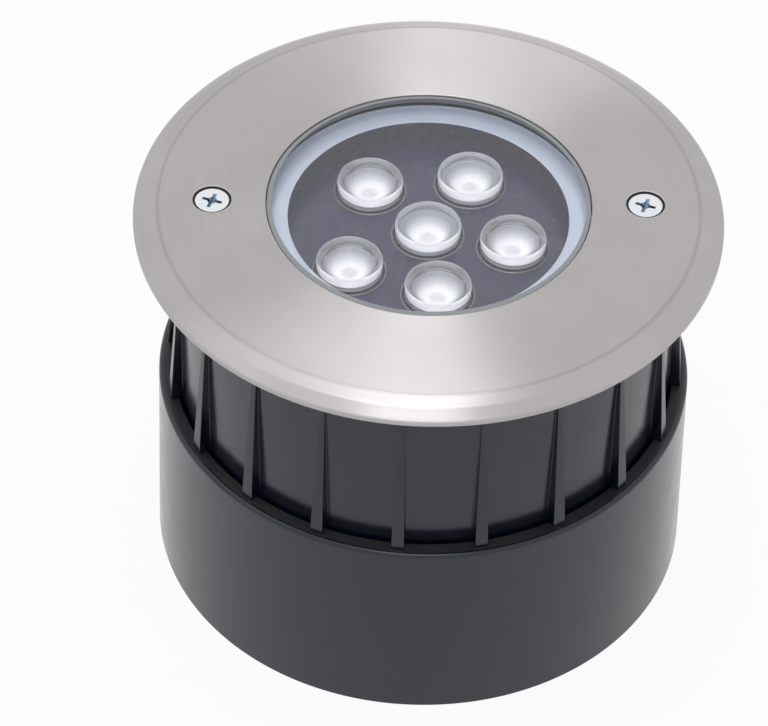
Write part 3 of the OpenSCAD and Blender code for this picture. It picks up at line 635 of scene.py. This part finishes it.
class Forge:
    """Makes meshes with bmesh operators and turns them into pieces of the part."""

    @staticmethod
    def lathe(
        profile: Profile, steps: int, rounds: dict[int, float] | None = None, closed: bool = True
    ) -> Mesh:
        """Spins a profile round the Z axis.

        Args:
            profile: Points as radius and height, in millimetres.
            steps: Steps of the full turn.
            rounds: Radius in millimetres by the number of the corner that is rounded.
            closed: Whether the last point joins the first.

        Returns:
            The mesh, in metres.
        """
        mesh = bmesh.new()
        points = [mesh.verts.new((r * MM, 0.0, z * MM)) for r, z in profile]
        pairs = list(zip(points, points[1:])) + ([(points[-1], points[0])] if closed else [])
        for pair in pairs:
            mesh.edges.new(pair)
        for index, radius in (rounds or {}).items():
            Forge.round_off(mesh, [points[index]], radius, CORNER_STEPS, "VERTICES")
        bmesh.ops.spin(
            mesh, geom=mesh.verts[:] + mesh.edges[:], cent=(0, 0, 0), axis=(0, 0, 1),
            angle=FULL_TURN, steps=steps, use_merge=True,
        )
        bmesh.ops.remove_doubles(mesh, verts=mesh.verts, dist=WELD)
        bmesh.ops.dissolve_degenerate(mesh, edges=mesh.edges, dist=SPECK)
        bmesh.ops.recalc_face_normals(mesh, faces=mesh.faces)
        return mesh

    @staticmethod
    def round_off(
        mesh: Mesh, parts: list, width_mm: float, steps: int, affect: str = "EDGES"
    ) -> None:
        """Rounds edges of a mesh, or corners of a section.

        Args:
            mesh: The mesh.
            parts: The edges, or the corners.
            width_mm: Width of the rounding.
            steps: Segments of the rounding.
            affect: EDGES, which then don't run into each other, or VERTICES.
        """
        bmesh.ops.bevel(
            mesh, geom=parts, offset=width_mm * MM, offset_type="OFFSET", affect=affect,
            segments=steps, profile=0.5, material=-1, clamp_overlap=affect == "EDGES",
        )

    @staticmethod
    def piece(name: str, mesh: Mesh, finishes: list[Finish], weigh: bool = True) -> Piece:
        """Writes a mesh into a new object with smooth shading.

        Args:
            name: Name of the piece.
            mesh: The mesh, which is freed.
            finishes: Finishes of the material slots.
            weigh: Whether normals follow the larger faces, so that flat faces stay flat.

        Returns:
            The object, at the origin.
        """
        data = bpy.data.meshes.new(name)
        mesh.to_mesh(data)
        mesh.free()
        data.polygons.foreach_set("use_smooth", [True] * len(data.polygons))
        for finish in finishes:
            data.materials.append(finish.material())
        piece = bpy.data.objects.new(name, data)
        bpy.context.scene.collection.objects.link(piece)
        if weigh:
            piece.modifiers.new("weighed normals", "WEIGHTED_NORMAL").weight = FACE_WEIGHT
            Forge.apply(piece)
        return piece

    @staticmethod
    def join(mesh: Mesh, more: Mesh, number: int) -> None:
        """Adds a second mesh to a mesh.

        Args:
            mesh: The mesh that grows.
            more: The mesh that is added, which is freed.
            number: Number of the finish that the added faces take.
        """
        for face in more.faces:
            face.material_index = number
        data = bpy.data.meshes.new("joined")
        more.to_mesh(data)
        more.free()
        mesh.from_mesh(data)
        bpy.data.meshes.remove(data)

    @staticmethod
    def carry(mesh: Mesh, node: str) -> Mesh:
        """Moves a mesh from the axis to the middle of a CAD node.

        Args:
            mesh: The mesh.
            node: Name of the node.

        Returns:
            The same mesh.
        """
        low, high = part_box(node)
        shift = Vector(((low.x + high.x) / 2, (low.y + high.y) / 2, 0))
        bmesh.ops.translate(mesh, vec=shift, verts=mesh.verts)
        return mesh

    @staticmethod
    def mark(mesh: Mesh, number: int, chosen: Callable[[Vector, Vector], bool]) -> None:
        """Gives some faces of a mesh another finish.

        Args:
            mesh: The mesh.
            number: Number of the finish among the finishes of the piece.
            chosen: Says whether a face takes it, from its middle in millimetres and its normal.
        """
        for face in mesh.faces:
            if chosen(face.calc_center_median() / MM, face.normal):
                face.material_index = number

    @staticmethod
    def apply(piece: Piece) -> None:
        """Applies the modifiers of a piece to its mesh.

        Args:
            piece: The piece, whose modifiers are removed.
        """
        graph = bpy.context.evaluated_depsgraph_get()
        old = piece.data
        piece.data = bpy.data.meshes.new_from_object(piece.evaluated_get(graph), depsgraph=graph)
        piece.data.name = old.name
        piece.modifiers.clear()
        bpy.data.meshes.remove(old)

    @staticmethod
    def softened(node: Piece, width_mm: float, crease: float = 15.0) -> Mesh:
        """Copies a CAD node and rounds its edges.

        Args:
            node: The node's object, which is left alone.
            width_mm: Width of the rounding.
            crease: Angle in degrees from which an edge is rounded.

        Returns:
            The merged and rounded copy.
        """
        mesh = bmesh.new()
        mesh.from_mesh(node.data)
        bmesh.ops.remove_doubles(mesh, verts=mesh.verts, dist=SLACK)
        bmesh.ops.dissolve_limit(
            mesh, angle_limit=math.radians(FLAT_DEGREES), verts=mesh.verts, edges=mesh.edges,
            use_dissolve_boundaries=False,
        )
        limit = math.radians(crease)
        inner = [edge for edge in mesh.edges if len(edge.link_faces) == 2]
        creases = [edge for edge in inner if edge.calc_face_angle(0.0) > limit]
        Forge.round_off(mesh, creases, width_mm, EDGE_STEPS)
        return mesh


@dataclass
class Assembly:
    """A sub-assembly: pieces that are built together and ride on one body.

    Attributes:
        body: Body that the pieces ride on.
        plain: CAD nodes that only get rounded edges: name, finish, width of the rounding in
            millimetres, and the angle from which an edge is rounded where it isn't the usual one.
    """

    frame: dict
    body: Body = Body.LAMP
    plain: tuple[tuple, ...] = ()

    def settle(self, piece: Piece, slot: str, *nodes: str) -> Piece:
        """Makes a piece ride on the body and stand for CAD nodes.

        Args:
            piece: The finished piece.
            slot: The record's material slot; not used.
            *nodes: CAD nodes that it stands for.

        Returns:
            The piece.
        """
        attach(piece, self.body.value)
        if nodes:
            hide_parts(*nodes)
        log.info("%s: %d faces, rides on %s", piece.name, len(piece.data.polygons), self.body.value)
        return piece

    def dress(
        self, name: str, mesh: Mesh, finishes: list[Finish], node: str, weigh: bool = True
    ) -> Piece:
        """Makes a mesh into a piece that stands for one CAD node.

        Args:
            name: Name of the piece.
            mesh: The mesh, which is freed.
            finishes: Its finishes.
            node: Name of the node.
            weigh: Whether normals follow the larger faces.

        Returns:
            The piece.
        """
        return self.settle(Forge.piece(name, mesh, finishes, weigh), finishes[0].name, node)

    def soften(
        self, node: str, finish: Finish, width_mm: float, crease: float = 15.0
    ) -> Piece:
        """Replaces a CAD node by its copy with rounded edges.

        Args:
            node: Name of the node.
            finish: Finish of the copy, whose name is the slot.
            width_mm: Width of the rounding.
            crease: Angle in degrees from which an edge is rounded.

        Returns:
            The new piece.
        """
        mesh = Forge.softened(self.frame["nodes"][node], width_mm, crease)
        return self.dress(node + "_rounded", mesh, [finish], node)

    def soften_plain(self) -> None:
        """Builds the plain nodes."""
        for row in self.plain:
            self.soften(*row)


@dataclass
class MountingSleeve(Assembly):
    """Outer can, ribbed sleeve and its brass inserts.

    Attributes:
        base_r: Outer radius of the can at its base, in millimetres.
        top_r: Outer radius of the can at its top.
        can_h: Height of the can.
        wall: Wall of the can.
        ledge_r: Radius of the hole in the ledge.
        ledge_t: Thickness of the ledge.
        edge_r: Round on the outer top edge.
        arris: Round on the other edges.
        steps: Steps of the full turn.
        skin: Depth under the top in which a face still belongs to the ledge.
    """

    body: Body = Body.SLEEVE
    plain: tuple[tuple, ...] = (
        ("ribbed_sleeve", BLACK_PLASTIC, 0.2),
        ("sleeve_inserts", INSERT_BRASS, 0.15),
    )
    base_r: float = 75.8
    top_r: float = 74.4
    can_h: float = 60.5
    wall: float = 3.0
    ledge_r: float = 69.7
    ledge_t: float = 3.0
    edge_r: float = 1.3
    arris: float = 0.35
    steps: int = 240
    skin: float = 0.01

    def can(self) -> Piece:
        """Builds the can: a tapered wall with a rounded edge and an inward ledge with a dull top.

        Returns:
            The piece.
        """
        under_z = self.can_h - self.ledge_t
        profile = [
            (self.base_r - self.wall, 0.0), (self.base_r, 0.0), (self.top_r, self.can_h),
            (self.ledge_r, self.can_h), (self.ledge_r, under_z), (self.top_r - self.wall, under_z),
        ]
        rounds = dict.fromkeys(range(len(profile)), self.arris) | {2: self.edge_r}
        mesh = Forge.lathe(profile, self.steps, rounds)
        ledge_z = self.can_h - self.skin
        Forge.mark(mesh, 1, lambda spot, normal: spot.z > ledge_z and normal.z > LEVEL)
        return self.dress("outer_can_turned", mesh, [BLACK_PLASTIC, WORN_PLASTIC], "outer_can")

    def build(self) -> None:
        """Builds the sleeve's pieces."""
        self.can()
        self.soften_plain()


@dataclass
class TrimHead(Assembly):
    """Trim ring, its screws, and the clamp ring under it.

    Attributes:
        ridge_r: Radius outside which the ridges of the bevel lie, in millimetres.
        ridge_z: Height above which they lie.
        ridge_folds: Smallest and largest fold of a ridge, in degrees.
        ridge_round: Width of the rounding of a ridge.
        ridge_steps: Segments of this rounding.
        level_mm: Largest rise along an edge that counts as level.
        edge_round: Width of the rounding of the other edges of the ring.
        edge_fold: Fold in degrees from which these are rounded.
        screw_round: Width of the rounding on the screws.
        screw_x: Distance of the trim screws from the axis.
        recess_r: Radius of the recess round a screw head.
        recess_z: Height under which this recess is painted dark, painted shade.
        cross_r: Reach of the cross recess of a screw.
        cross_z: Lowest and highest middle of a face in this recess.
    """

    plain: tuple[tuple, ...] = (
        ("trim_gasket", SEAL_RUBBER, 0.15),
        ("clamp_ring", CLAMP_STEEL, 0.12),
        ("clamp_screws", SCREW_STEEL, 0.08),
    )
    ridge_r: float = 72.0
    ridge_z: float = 117.2
    ridge_folds: tuple[float, float] = (8.0, 22.0)
    ridge_round: float = 1.1
    ridge_steps: int = 5
    level_mm: float = 0.05
    edge_round: float = 0.25
    edge_fold: float = 50.0
    screw_round: float = 0.1
    screw_x: float = 58.6
    recess_r: float = 5.4
    recess_z: float = 120.8
    cross_r: float = 2.95
    cross_z: tuple[float, float] = (118.6, 120.46)

    def ring(self) -> Piece:
        """Builds the trim ring, with wide rounds on the ridges of its bevel.

        Returns:
            The piece.
        """
        mesh = Forge.softened(self.frame["nodes"]["trim_ring"], self.edge_round, self.edge_fold)
        ridges = [edge for edge in mesh.edges if self.is_ridge(edge)]
        Forge.round_off(mesh, ridges, self.ridge_round, self.ridge_steps)
        # Painted shade: the recess round each screw head is painted near black.
        reach, top = self.recess_r, self.recess_z
        Forge.mark(mesh, 1, lambda spot, normal: self.off_screw(spot) < reach and spot.z < top)
        return self.dress("trim_ring_rounded", mesh, [TRIM_STEEL, RECESS_PAINTED_SHADE], "trim_ring")

    def is_ridge(self, edge: bmesh.types.BMEdge) -> bool:
        """Says whether an edge of the trim ring is a ridge of its bevel.

        Args:
            edge: The edge.

        Returns:
            Whether it lies level, outside and high, between two faces with a slight fold.
        """
        first, second = (vert.co for vert in edge.verts)
        outside = min(first.xy.length, second.xy.length) > self.ridge_r * MM
        level = abs(first.z - second.z) < self.level_mm * MM
        high = first.z > self.ridge_z * MM
        if not (outside and level and high and len(edge.link_faces) == 2):
            return False
        least, most = self.ridge_folds
        return least < math.degrees(edge.calc_face_angle(0.0)) < most

    def off_screw(self, spot: Vector) -> float:
        """Gives the distance in millimetres of a spot from the axis of the nearest trim screw."""
        return math.hypot(abs(spot.x) - self.screw_x, spot.y)

    def screws(self) -> Piece:
        """Builds the trim screws, with painted shade, a darker bluish tone, in their cross recess.

        Returns:
            The piece.
        """
        mesh = Forge.softened(self.frame["nodes"]["trim_screws"], self.screw_round)
        # Painted shade: the faces in the cross recess take the darker bluish metal.
        reach, (low, high) = self.cross_r, self.cross_z
        Forge.mark(mesh, 1, lambda spot, normal: self.off_screw(spot) < reach and low < spot.z < high)
        return self.dress("trim_screws_shaded_cross", mesh, [SCREW_STEEL, CROSS_PAINTED_SHADE], "trim_screws")

    def build(self) -> None:
        """Builds the trim's pieces."""
        self.ring()
        self.screws()
        self.soften_plain()


@dataclass
class Glazing(Assembly):
    """Glass, its gasket and the silver ring under it.

    Attributes:
        bevel_r: Radius at which the ground bevel of the glass starts, in millimetres.
        edge_r: Radius from which the glass is ground all over.
        bevel_z: Height above which the ground faces belong to the bevel.
        upright: Largest rise of the normal of an upright face.
        glass_round: Width of the rounding of the glass.
        ring_w: Width of the silver ring.
        ring_round: Width of the rounding of this ring.
        wall_reach: Distance past its inner wall in which an upright face is dark.
        flange_w: Width of the flange that stands up round it.
        flange_h: Height of this flange.
        flange_round: Rounding of its top.
        steps: Steps of the full turn.
    """

    plain: tuple[tuple, ...] = (("glass_gasket", SEAL_RUBBER, 0.15),)
    bevel_r: float = 42.6
    edge_r: float = 43.7
    bevel_z: float = 120.5
    upright: float = 0.9
    glass_round: float = 0.08
    ring_w: float = 6.8
    ring_round: float = 0.15
    wall_reach: float = 0.12
    flange_w: float = 0.35
    flange_h: float = 0.5
    flange_round: float = 0.1
    steps: int = 180

    def glass(self) -> Piece:
        """Builds the glass: clear in the middle, bevel and edge ground dull, the edge painted shade.

        Returns:
            The piece.
        """

        def on_edge(spot: Vector, normal: Vector) -> bool:
            """Says whether a face belongs to the ground edge."""
            return spot.xy.length > self.edge_r and abs(normal.z) < self.upright

        def on_bevel(spot: Vector, normal: Vector) -> bool:
            """Says whether a face belongs to the ground bevel."""
            return spot.z > self.bevel_z and spot.xy.length > self.bevel_r

        mesh = Forge.softened(self.frame["nodes"]["glass_lens"], self.glass_round)
        # Painted shade: the ground side of the glass is an opaque dark slate.
        Forge.mark(mesh, 2, on_edge)
        Forge.mark(mesh, 1, on_bevel)
        finishes = [CLEAR_GLASS, GROUND_BEVEL, GROUND_EDGE_PAINTED_SHADE]
        return self.dress("glass_lens_ground", mesh, finishes, "glass_lens")

    def ring(self) -> Piece:
        """Builds the silver ring, whose inner wall is dark like the plate.

        Returns:
            The piece.
        """
        mesh = Forge.softened(self.frame["nodes"]["reflector_ring"], self.ring_round)
        low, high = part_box("reflector_ring")
        outer = (high.x - low.x) / 2 / MM
        wall = outer - self.ring_w + self.wall_reach
        upright = self.upright
        Forge.mark(mesh, 1, lambda spot, normal: spot.xy.length < wall and abs(normal.z) < upright)
        top = high.z / MM
        foot, inner, rise = top - self.flange_w, outer - self.flange_w, top + self.flange_h
        section = [(inner, foot), (outer, foot), (outer, rise), (inner, rise)]
        rounds = {2: self.flange_round, 3: self.flange_round}
        Forge.join(mesh, Forge.lathe(section, self.steps, rounds), 0)
        finishes = [SILVER_COAT, DARK_PLATE]
        return self.dress("reflector_ring_rounded", mesh, finishes, "reflector_ring")

    def build(self) -> None:
        """Builds the glazing's pieces."""
        self.glass()
        self.soften_plain()
        self.ring()


@dataclass
class LightEngine(Assembly):
    """Cover plate, optics, holders and the LED board.

    Attributes:
        rim_r: Radius of the rim of an optic, in millimetres.
        top_z: Height of the top of an optic.
        rim_z: Height of the underside of its rim.
        land: Distances of its flat top from the bowl and from the rim.
        shoulder: Width and depth of the step outside this flat top.
        edge_drop: Depth under the top of the bowl's edge, and of the start of the upright rim.
        arris: Break of the sharp edges.
        skirt_z: Height of the foot of the skirt round its holder.
        skirt_r: Inner radius of this skirt.
        cone_r: Radius of the tapered body at its foot and under the rim.
        foot_z: Height of the foot.
        pocket_r: Radius of the pocket over the LED.
        pocket_z: Height of its top.
        pocket_dome: Rise of its roof from the wall to the middle.
        bowl_r: Radius of the bowl at the top.
        bowl_deep: Depth of the bowl.
        beads_round: Beads round the bowl.
        bead_rows: Rows of beads from rim to middle.
        bead_steps: Mesh steps across a bead.
        bead_mm: Height of a bead.
        beaded: Shares of the bowl, from its middle, between which beads stand.
        full_from: Share from which they have their full height.
        glint_from: Share from which their crowns are milky, painted glints.
        glint_reach: Reach of a milky crown, a painted glint, as a share of half a bead.
        plate_z: Height of the top of the plate.
        plate_round: Width of the rounding of the plate.
        lip_r: Radius of the rolled lip round a hole of the plate.
        lip_thick: Radius of the lip's section.
        lip_sides: Sides of this section.
        lip_steps: Steps of the full turn of a lip.
        holder_round: Width of the rounding of a holder.
        count: Number of optics.
    """

    plain: tuple[tuple, ...] = (
        ("led_emitters", LED_PHOSPHOR, 0.1),
        ("led_board", BOARD_WHITE, 0.1),
        ("board_screws", SCREW_STEEL, 0.1),
        ("thermal_pad", PAD_GREY, 0.08),
        ("led_leads", LEAD_RED, 0.05, 40.0),
    )
    rim_r: float = 8.99
    top_z: float = 108.8
    rim_z: float = 105.6
    land: tuple[float, float] = (0.25, 0.35)
    shoulder: float = 0.15
    edge_drop: float = 0.5
    arris: float = 0.1
    skirt_z: float = 104.8
    skirt_r: float = 8.45
    cone_r: tuple[float, float] = (5.1, 7.3)
    foot_z: float = 97.8
    pocket_r: float = 2.98
    pocket_z: float = 100.8
    pocket_dome: float = 0.45
    bowl_r: float = 8.2
    bowl_deep: float = 2.6
    beads_round: int = 60
    bead_rows: int = 13
    bead_steps: int = 4
    bead_mm: float = 0.14
    beaded: tuple[float, float] = (0.02, 0.985)
    full_from: float = 0.25
    glint_from: float = 0.3
    glint_reach: float = 0.5
    plate_z: float = 104.4
    plate_round: float = 0.12
    lip_r: float = 9.85
    lip_thick: float = 0.3
    lip_sides: int = 8
    lip_steps: int = 96
    holder_round: float = 0.1
    count: int = 6

    def ball(self) -> tuple[float, float, float]:
        """Gives the ball of which the bowl is a part.

        Returns:
            Its radius and the height of its middle in millimetres, and the bowl's half angle.
        """
        radius = (self.bowl_r**2 + self.bowl_deep**2) / (2 * self.bowl_deep)
        middle_z = self.top_z - self.edge_drop - self.bowl_deep + radius
        return radius, middle_z, math.asin(self.bowl_r / radius)

    def bowl_profile(self, rows: int) -> Profile:
        """Gives the profile of the bowl, a part of a circle.

        Args:
            rows: Number of steps from the rim to the middle.

        Returns:
            Points from the rim to the middle.
        """
        radius, middle_z, full = self.ball()
        angles = [full * (1 - step / rows) for step in range(rows + 1)]
        return [(radius * math.sin(a), middle_z - radius * math.cos(a)) for a in angles]

    def optic_mesh(self) -> Mesh:
        """Builds one optic on the axis: rim, tapered body and beaded bowl.

        Returns:
            The mesh. Its slots are the clear body, the bowl, the silvered cone with its painted light,
            and the milky outside of the skirt with the milky bead crowns, painted glints.
        """
        rim_r, top_z, skirt_r, skirt_z = self.rim_r, self.top_z, self.skirt_r, self.skirt_z
        near, far = self.land
        foot_r, wide_r = self.cone_r
        outside = [
            (self.bowl_r + self.arris, top_z - self.arris), (self.bowl_r + near, top_z),
            (rim_r - far, top_z), (rim_r - self.shoulder, top_z - self.shoulder),
            (rim_r, top_z - self.edge_drop), (rim_r, skirt_z + self.arris),
            (rim_r - self.arris, skirt_z), (skirt_r, skirt_z), (skirt_r, self.rim_z),
            (wide_r, self.rim_z), (foot_r, self.foot_z), (self.pocket_r, self.foot_z),
            (self.pocket_r, self.pocket_z - self.pocket_dome), (0.0, self.pocket_z),
        ]
        bowl = self.bowl_profile(self.bead_rows * self.bead_steps)
        steps = self.beads_round * self.bead_steps
        mesh = Forge.lathe(list(reversed(bowl)) + outside, steps, closed=False)
        inner, top = (size * MM + SLACK for size in bowl[0])
        floor = bowl[-1][1] * MM - SLACK
        for face in mesh.faces:
            spot = face.calc_center_median()
            if floor <= spot.z <= top and spot.xy.length < inner:
                face.material_index = 1
            elif spot.z < self.rim_z * MM + SLACK:
                face.material_index = 3 if spot.xy.length > skirt_r * MM + SLACK else 2
        self.bead(mesh)
        return mesh

    def bead(self, mesh: Mesh) -> None:
        """Raises the beads on the bowl.

        Args:
            mesh: The optic, whose bowl faces have material 1.
        """
        _, middle_z, full = self.ball()
        middle = Vector((0, 0, middle_z * MM))
        bowl = [face for face in mesh.faces if face.material_index == 1]
        verts = {vert for face in bowl for vert in face.verts}

        def place(spot: Vector) -> tuple[float, float, float]:
            """Gives the share of the bowl at a spot, and the spot's place on its bead."""
            share = math.atan2(spot.xy.length, (middle - spot).z) / full
            row = (1 - share) * self.bead_rows
            turn = math.atan2(spot.y, spot.x) / FULL_TURN * self.beads_round + 0.5 * (int(row) % 2)
            return share, 2 * (turn - math.floor(turn)) - 1, 2 * (row - math.floor(row)) - 1

        # Painted glints: the crowns of the outer beads take the milky finish.
        for face in bowl:
            share, across, along = place(face.calc_center_median())
            if share > self.glint_from and max(abs(across), abs(along)) < self.glint_reach:
                face.material_index = 3
        low, high = self.beaded
        for vert in verts:
            share, across, along = place(vert.co)
            full_share = min(1.0, share / self.full_from)
            height = (1 - across**2) * (1 - along**2) * self.bead_mm * MM * full_share
            if low < share < high:
                vert.co -= (vert.co - middle).normalized() * height

    def plate(self) -> Piece:
        """Builds the cover plate with a rolled lip round each hole.

        Returns:
            The piece.
        """
        mesh = Forge.softened(self.frame["nodes"]["cover_plate"], self.plate_round)
        thick = self.lip_thick
        turns = [FULL_TURN * side / self.lip_sides for side in range(self.lip_sides)]
        section = [
            (self.lip_r + thick * math.cos(a), self.plate_z + thick * math.sin(a)) for a in turns
        ]
        for number in range(1, self.count + 1):
            lip = Forge.carry(Forge.lathe(section, self.lip_steps), f"optic_{number}")
            Forge.join(mesh, lip, 1)
        return self.dress("cover_plate_lipped", mesh, [DARK_PLATE, LIP_GLOSS], "cover_plate")

    def build(self) -> None:
        """Builds the light engine's pieces."""
        self.plate()
        optic = self.optic_mesh()
        finishes = [CLEAR_OPTIC, BEADED_FACE, SILVERED_CONE, MILKY_SKIRT_AND_BEAD_GLINTS]
        for number in range(1, self.count + 1):
            node = f"optic_{number}"
            self.dress(node + "_beaded", Forge.carry(optic.copy(), node), finishes, node, False)
            self.soften(f"optic_holder_{number}", HOLDER_BLACK, self.holder_round)
        optic.free()
        self.soften_plain()


@dataclass
class LampBody(Assembly):
    """Finned housing, rear cover, driver and cable gland.

    Attributes:
        chamber_r: Radii between which the wall of the LED chamber lies, in millimetres.
        chamber_z: Height above which this wall is painted dark.
        cast_round: Width of the rounding of the housing.
    """

    plain: tuple[tuple, ...] = (
        ("rear_cover", CAST_ALLOY, 0.2),
        ("rear_cover_seal", SEAL_RUBBER, 0.05, 60.0),
        ("rear_cover_screws", SCREW_STEEL, 0.12),
        ("driver_board", CIRCUIT_GREEN, 0.1),
        ("driver_screws", SCREW_STEEL, 0.1),
        ("driver_transformer", WINDING_YELLOW, 0.3),
        ("driver_capacitors", CAPACITOR_SLEEVE, 0.3),
        ("terminal_block", TERMINAL_GREEN, 0.2),
        ("gland_body", GLAND_NYLON, 0.2),
        ("gland_washer", SEAL_RUBBER, 0.1),
        ("gland_seal", SEAL_RUBBER, 0.2),
        ("gland_nut", GLAND_NYLON, 0.3),
    )
    chamber_r: tuple[float, float] = (40.0, 42.0)
    chamber_z: float = 96.0
    cast_round: float = 0.25

    def housing(self) -> Piece:
        """Builds the cast housing, with the wall of its LED chamber painted like the plate.

        Returns:
            The piece.
        """
        mesh = Forge.softened(self.frame["nodes"]["lamp_housing"], self.cast_round)
        floor, (near, far) = self.chamber_z, self.chamber_r
        Forge.mark(mesh, 1, lambda spot, normal: spot.z > floor and near < spot.xy.length < far)
        return self.dress("lamp_housing_rounded", mesh, [CAST_ALLOY, DARK_PLATE], "lamp_housing")

    def build(self) -> None:
        """Builds the pieces of the lamp's body."""
        self.housing()
        self.soften_plain()


# ---------------------------------------------------------------- studio


@dataclass(frozen=True)
class SoftBox:
    """A rectangular lamp.

    Attributes:
        name: Name of the lamp.
        place: Where it stands, in metres.
        target: What it points at.
        size: Its width and height.
        power: Its power in watts.
    """

    name: str
    place: Point
    target: Point
    size: tuple[float, float]
    power: float

    def build(self) -> None:
        """Adds the lamp to the scene."""
        lamp = bpy.data.lights.new(self.name, "AREA")
        lamp.shape = "RECTANGLE"
        lamp.size, lamp.size_y = self.size
        lamp.energy = self.power
        holder = bpy.data.objects.new(self.name, lamp)
        bpy.context.scene.collection.objects.link(holder)
        holder.location = self.place
        away = Vector(self.target) - Vector(self.place)
        holder.rotation_euler = away.to_track_quat("-Z", "Y").to_euler()


@dataclass(frozen=True)
class Studio:
    """Camera, lamps, floor and world.

    Attributes:
        place: Place of the camera, in metres.
        azimuth: Direction to the camera from the front, in degrees.
        elevation: Height of the view, in degrees.
        roll: Turn of the picture, in degrees.
        lens_mm: Focal length on a sensor 36 mm wide.
        can_r_mm: Radius inside the can, where no light reaches the floor.
        sky: Colour of the world's light.
        sky_power: Strength of the world's light.
        floor_reach: Half the width of the floor, in metres.
        paper: The two tones of the floor.
        paper_rough: Lowest and highest roughness of the floor.
        paper_grain: Features of its grain per metre.
        paper_shine: Share of plain white where the floor is seen.
        lamps: The lamps.
    """

    place: Point = (-0.02352, -0.73338, 0.79246)
    azimuth: float = -0.969
    elevation: float = 44.996
    roll: float = 1.35
    lens_mm: float = 172.4
    can_r_mm: float = 73.5
    sky: Colour = (0.96, 0.98, 1.0)
    sky_power: float = 0.55
    floor_reach: float = 6.0
    paper: tuple[Colour, Colour] = ((0.86, 0.86, 0.86), (0.9, 0.9, 0.9))
    paper_rough: tuple[float, float] = (0.7, 0.8)
    paper_grain: float = 400.0
    paper_shine: float = 0.93
    lamps: tuple[SoftBox, ...] = (
        SoftBox("overhead", (-0.06, -0.05, 1.3), (-0.06, -0.05, 0.12), (0.5, 1.65), 5.0),
        SoftBox("side", (-0.75, 0.0, 1.2), (0.0, 0.0, 0.12), (0.8, 0.8), 0.9),
    )

    def camera(self) -> None:
        """Adds the camera at the photograph's viewpoint."""
        a, e, r = (math.radians(x) for x in (self.azimuth, self.elevation, self.roll))
        back = Vector((math.sin(a) * math.cos(e), -math.cos(a) * math.cos(e), math.sin(e)))
        right = Vector((math.cos(a), math.sin(a), 0))
        up = back.cross(right)
        across = right * math.cos(r) + up * math.sin(r)
        rise = up * math.cos(r) - right * math.sin(r)
        lens = bpy.data.cameras.new("view")
        lens.sensor_fit = "HORIZONTAL"
        lens.sensor_width = 36.0
        lens.lens = self.lens_mm
        lens.clip_start = 0.01
        holder = bpy.data.objects.new("view", lens)
        bpy.context.scene.collection.objects.link(holder)
        turn = Matrix((across, rise, back)).transposed().to_4x4()
        holder.matrix_world = Matrix.Translation(Vector(self.place)) @ turn
        bpy.context.scene.camera = holder

    def world(self) -> None:
        """Sets a plain world: white where it is seen, softer as light."""
        world = bpy.data.worlds.new("studio")
        wiring = Wiring(world, "ShaderNodeOutputWorld")
        soft = {"Color": (*self.sky, 1.0), "Strength": self.sky_power}
        light = wiring.add("ShaderNodeBackground", soft).outputs[0]
        white = {"Color": (1.0, 1.0, 1.0, 1.0), "Strength": 1.0}
        seen = wiring.add("ShaderNodeBackground", white).outputs[0]
        mix = wiring.add("ShaderNodeMixShader", {0: wiring.seen(), 1: light, 2: seen})
        wiring.close(mix.outputs[0])
        bpy.context.scene.world = world

    def floor(self) -> None:
        """Adds the pale floor, which shows white and keeps the shadow."""
        mesh = bmesh.new()
        bmesh.ops.create_grid(mesh, x_segments=1, y_segments=1, size=self.floor_reach)
        data = bpy.data.meshes.new("floor")
        mesh.to_mesh(data)
        mesh.free()
        wiring = Wiring(bpy.data.materials.new("floor_paper"), "ShaderNodeOutputMaterial")
        grain = wiring.noise(self.paper_grain)
        paper = wiring.principled(
            Base_Color=wiring.tones(grain, *self.paper),
            Roughness=wiring.spread(grain, *self.paper_rough),
        )
        shine = wiring.add("ShaderNodeEmission", {"Strength": 1.0})
        outside = wiring.maths("GREATER_THAN", wiring.ring_place()[0], self.can_r_mm * MM)
        shown = wiring.maths("MULTIPLY", wiring.seen(), outside)
        share = wiring.maths("MULTIPLY", shown, self.paper_shine)
        feeds = {0: share, 1: paper.outputs["BSDF"], 2: shine.outputs[0]}
        wiring.close(wiring.add("ShaderNodeMixShader", feeds).outputs[0])
        data.materials.append(wiring.owner)
        floor = bpy.data.objects.new("floor", data)
        bpy.context.scene.collection.objects.link(floor)

    def build(self) -> None:
        """Sets up the studio."""
        self.camera()
        self.world()
        self.floor()
        for lamp in self.lamps:
            lamp.build()
        bpy.context.scene.view_settings.view_transform = "Standard"


def main() -> None:
    """Builds the whole scene."""
    logging.basicConfig(level=logging.INFO, format="%(message)s")
    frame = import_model()
    for assembly in (MountingSleeve, TrimHead, Glazing, LightEngine, LampBody):
        assembly(frame).build()
    Studio().build()
    bpy.context.view_layer.update()


if __name__ == "__main__":
    main()
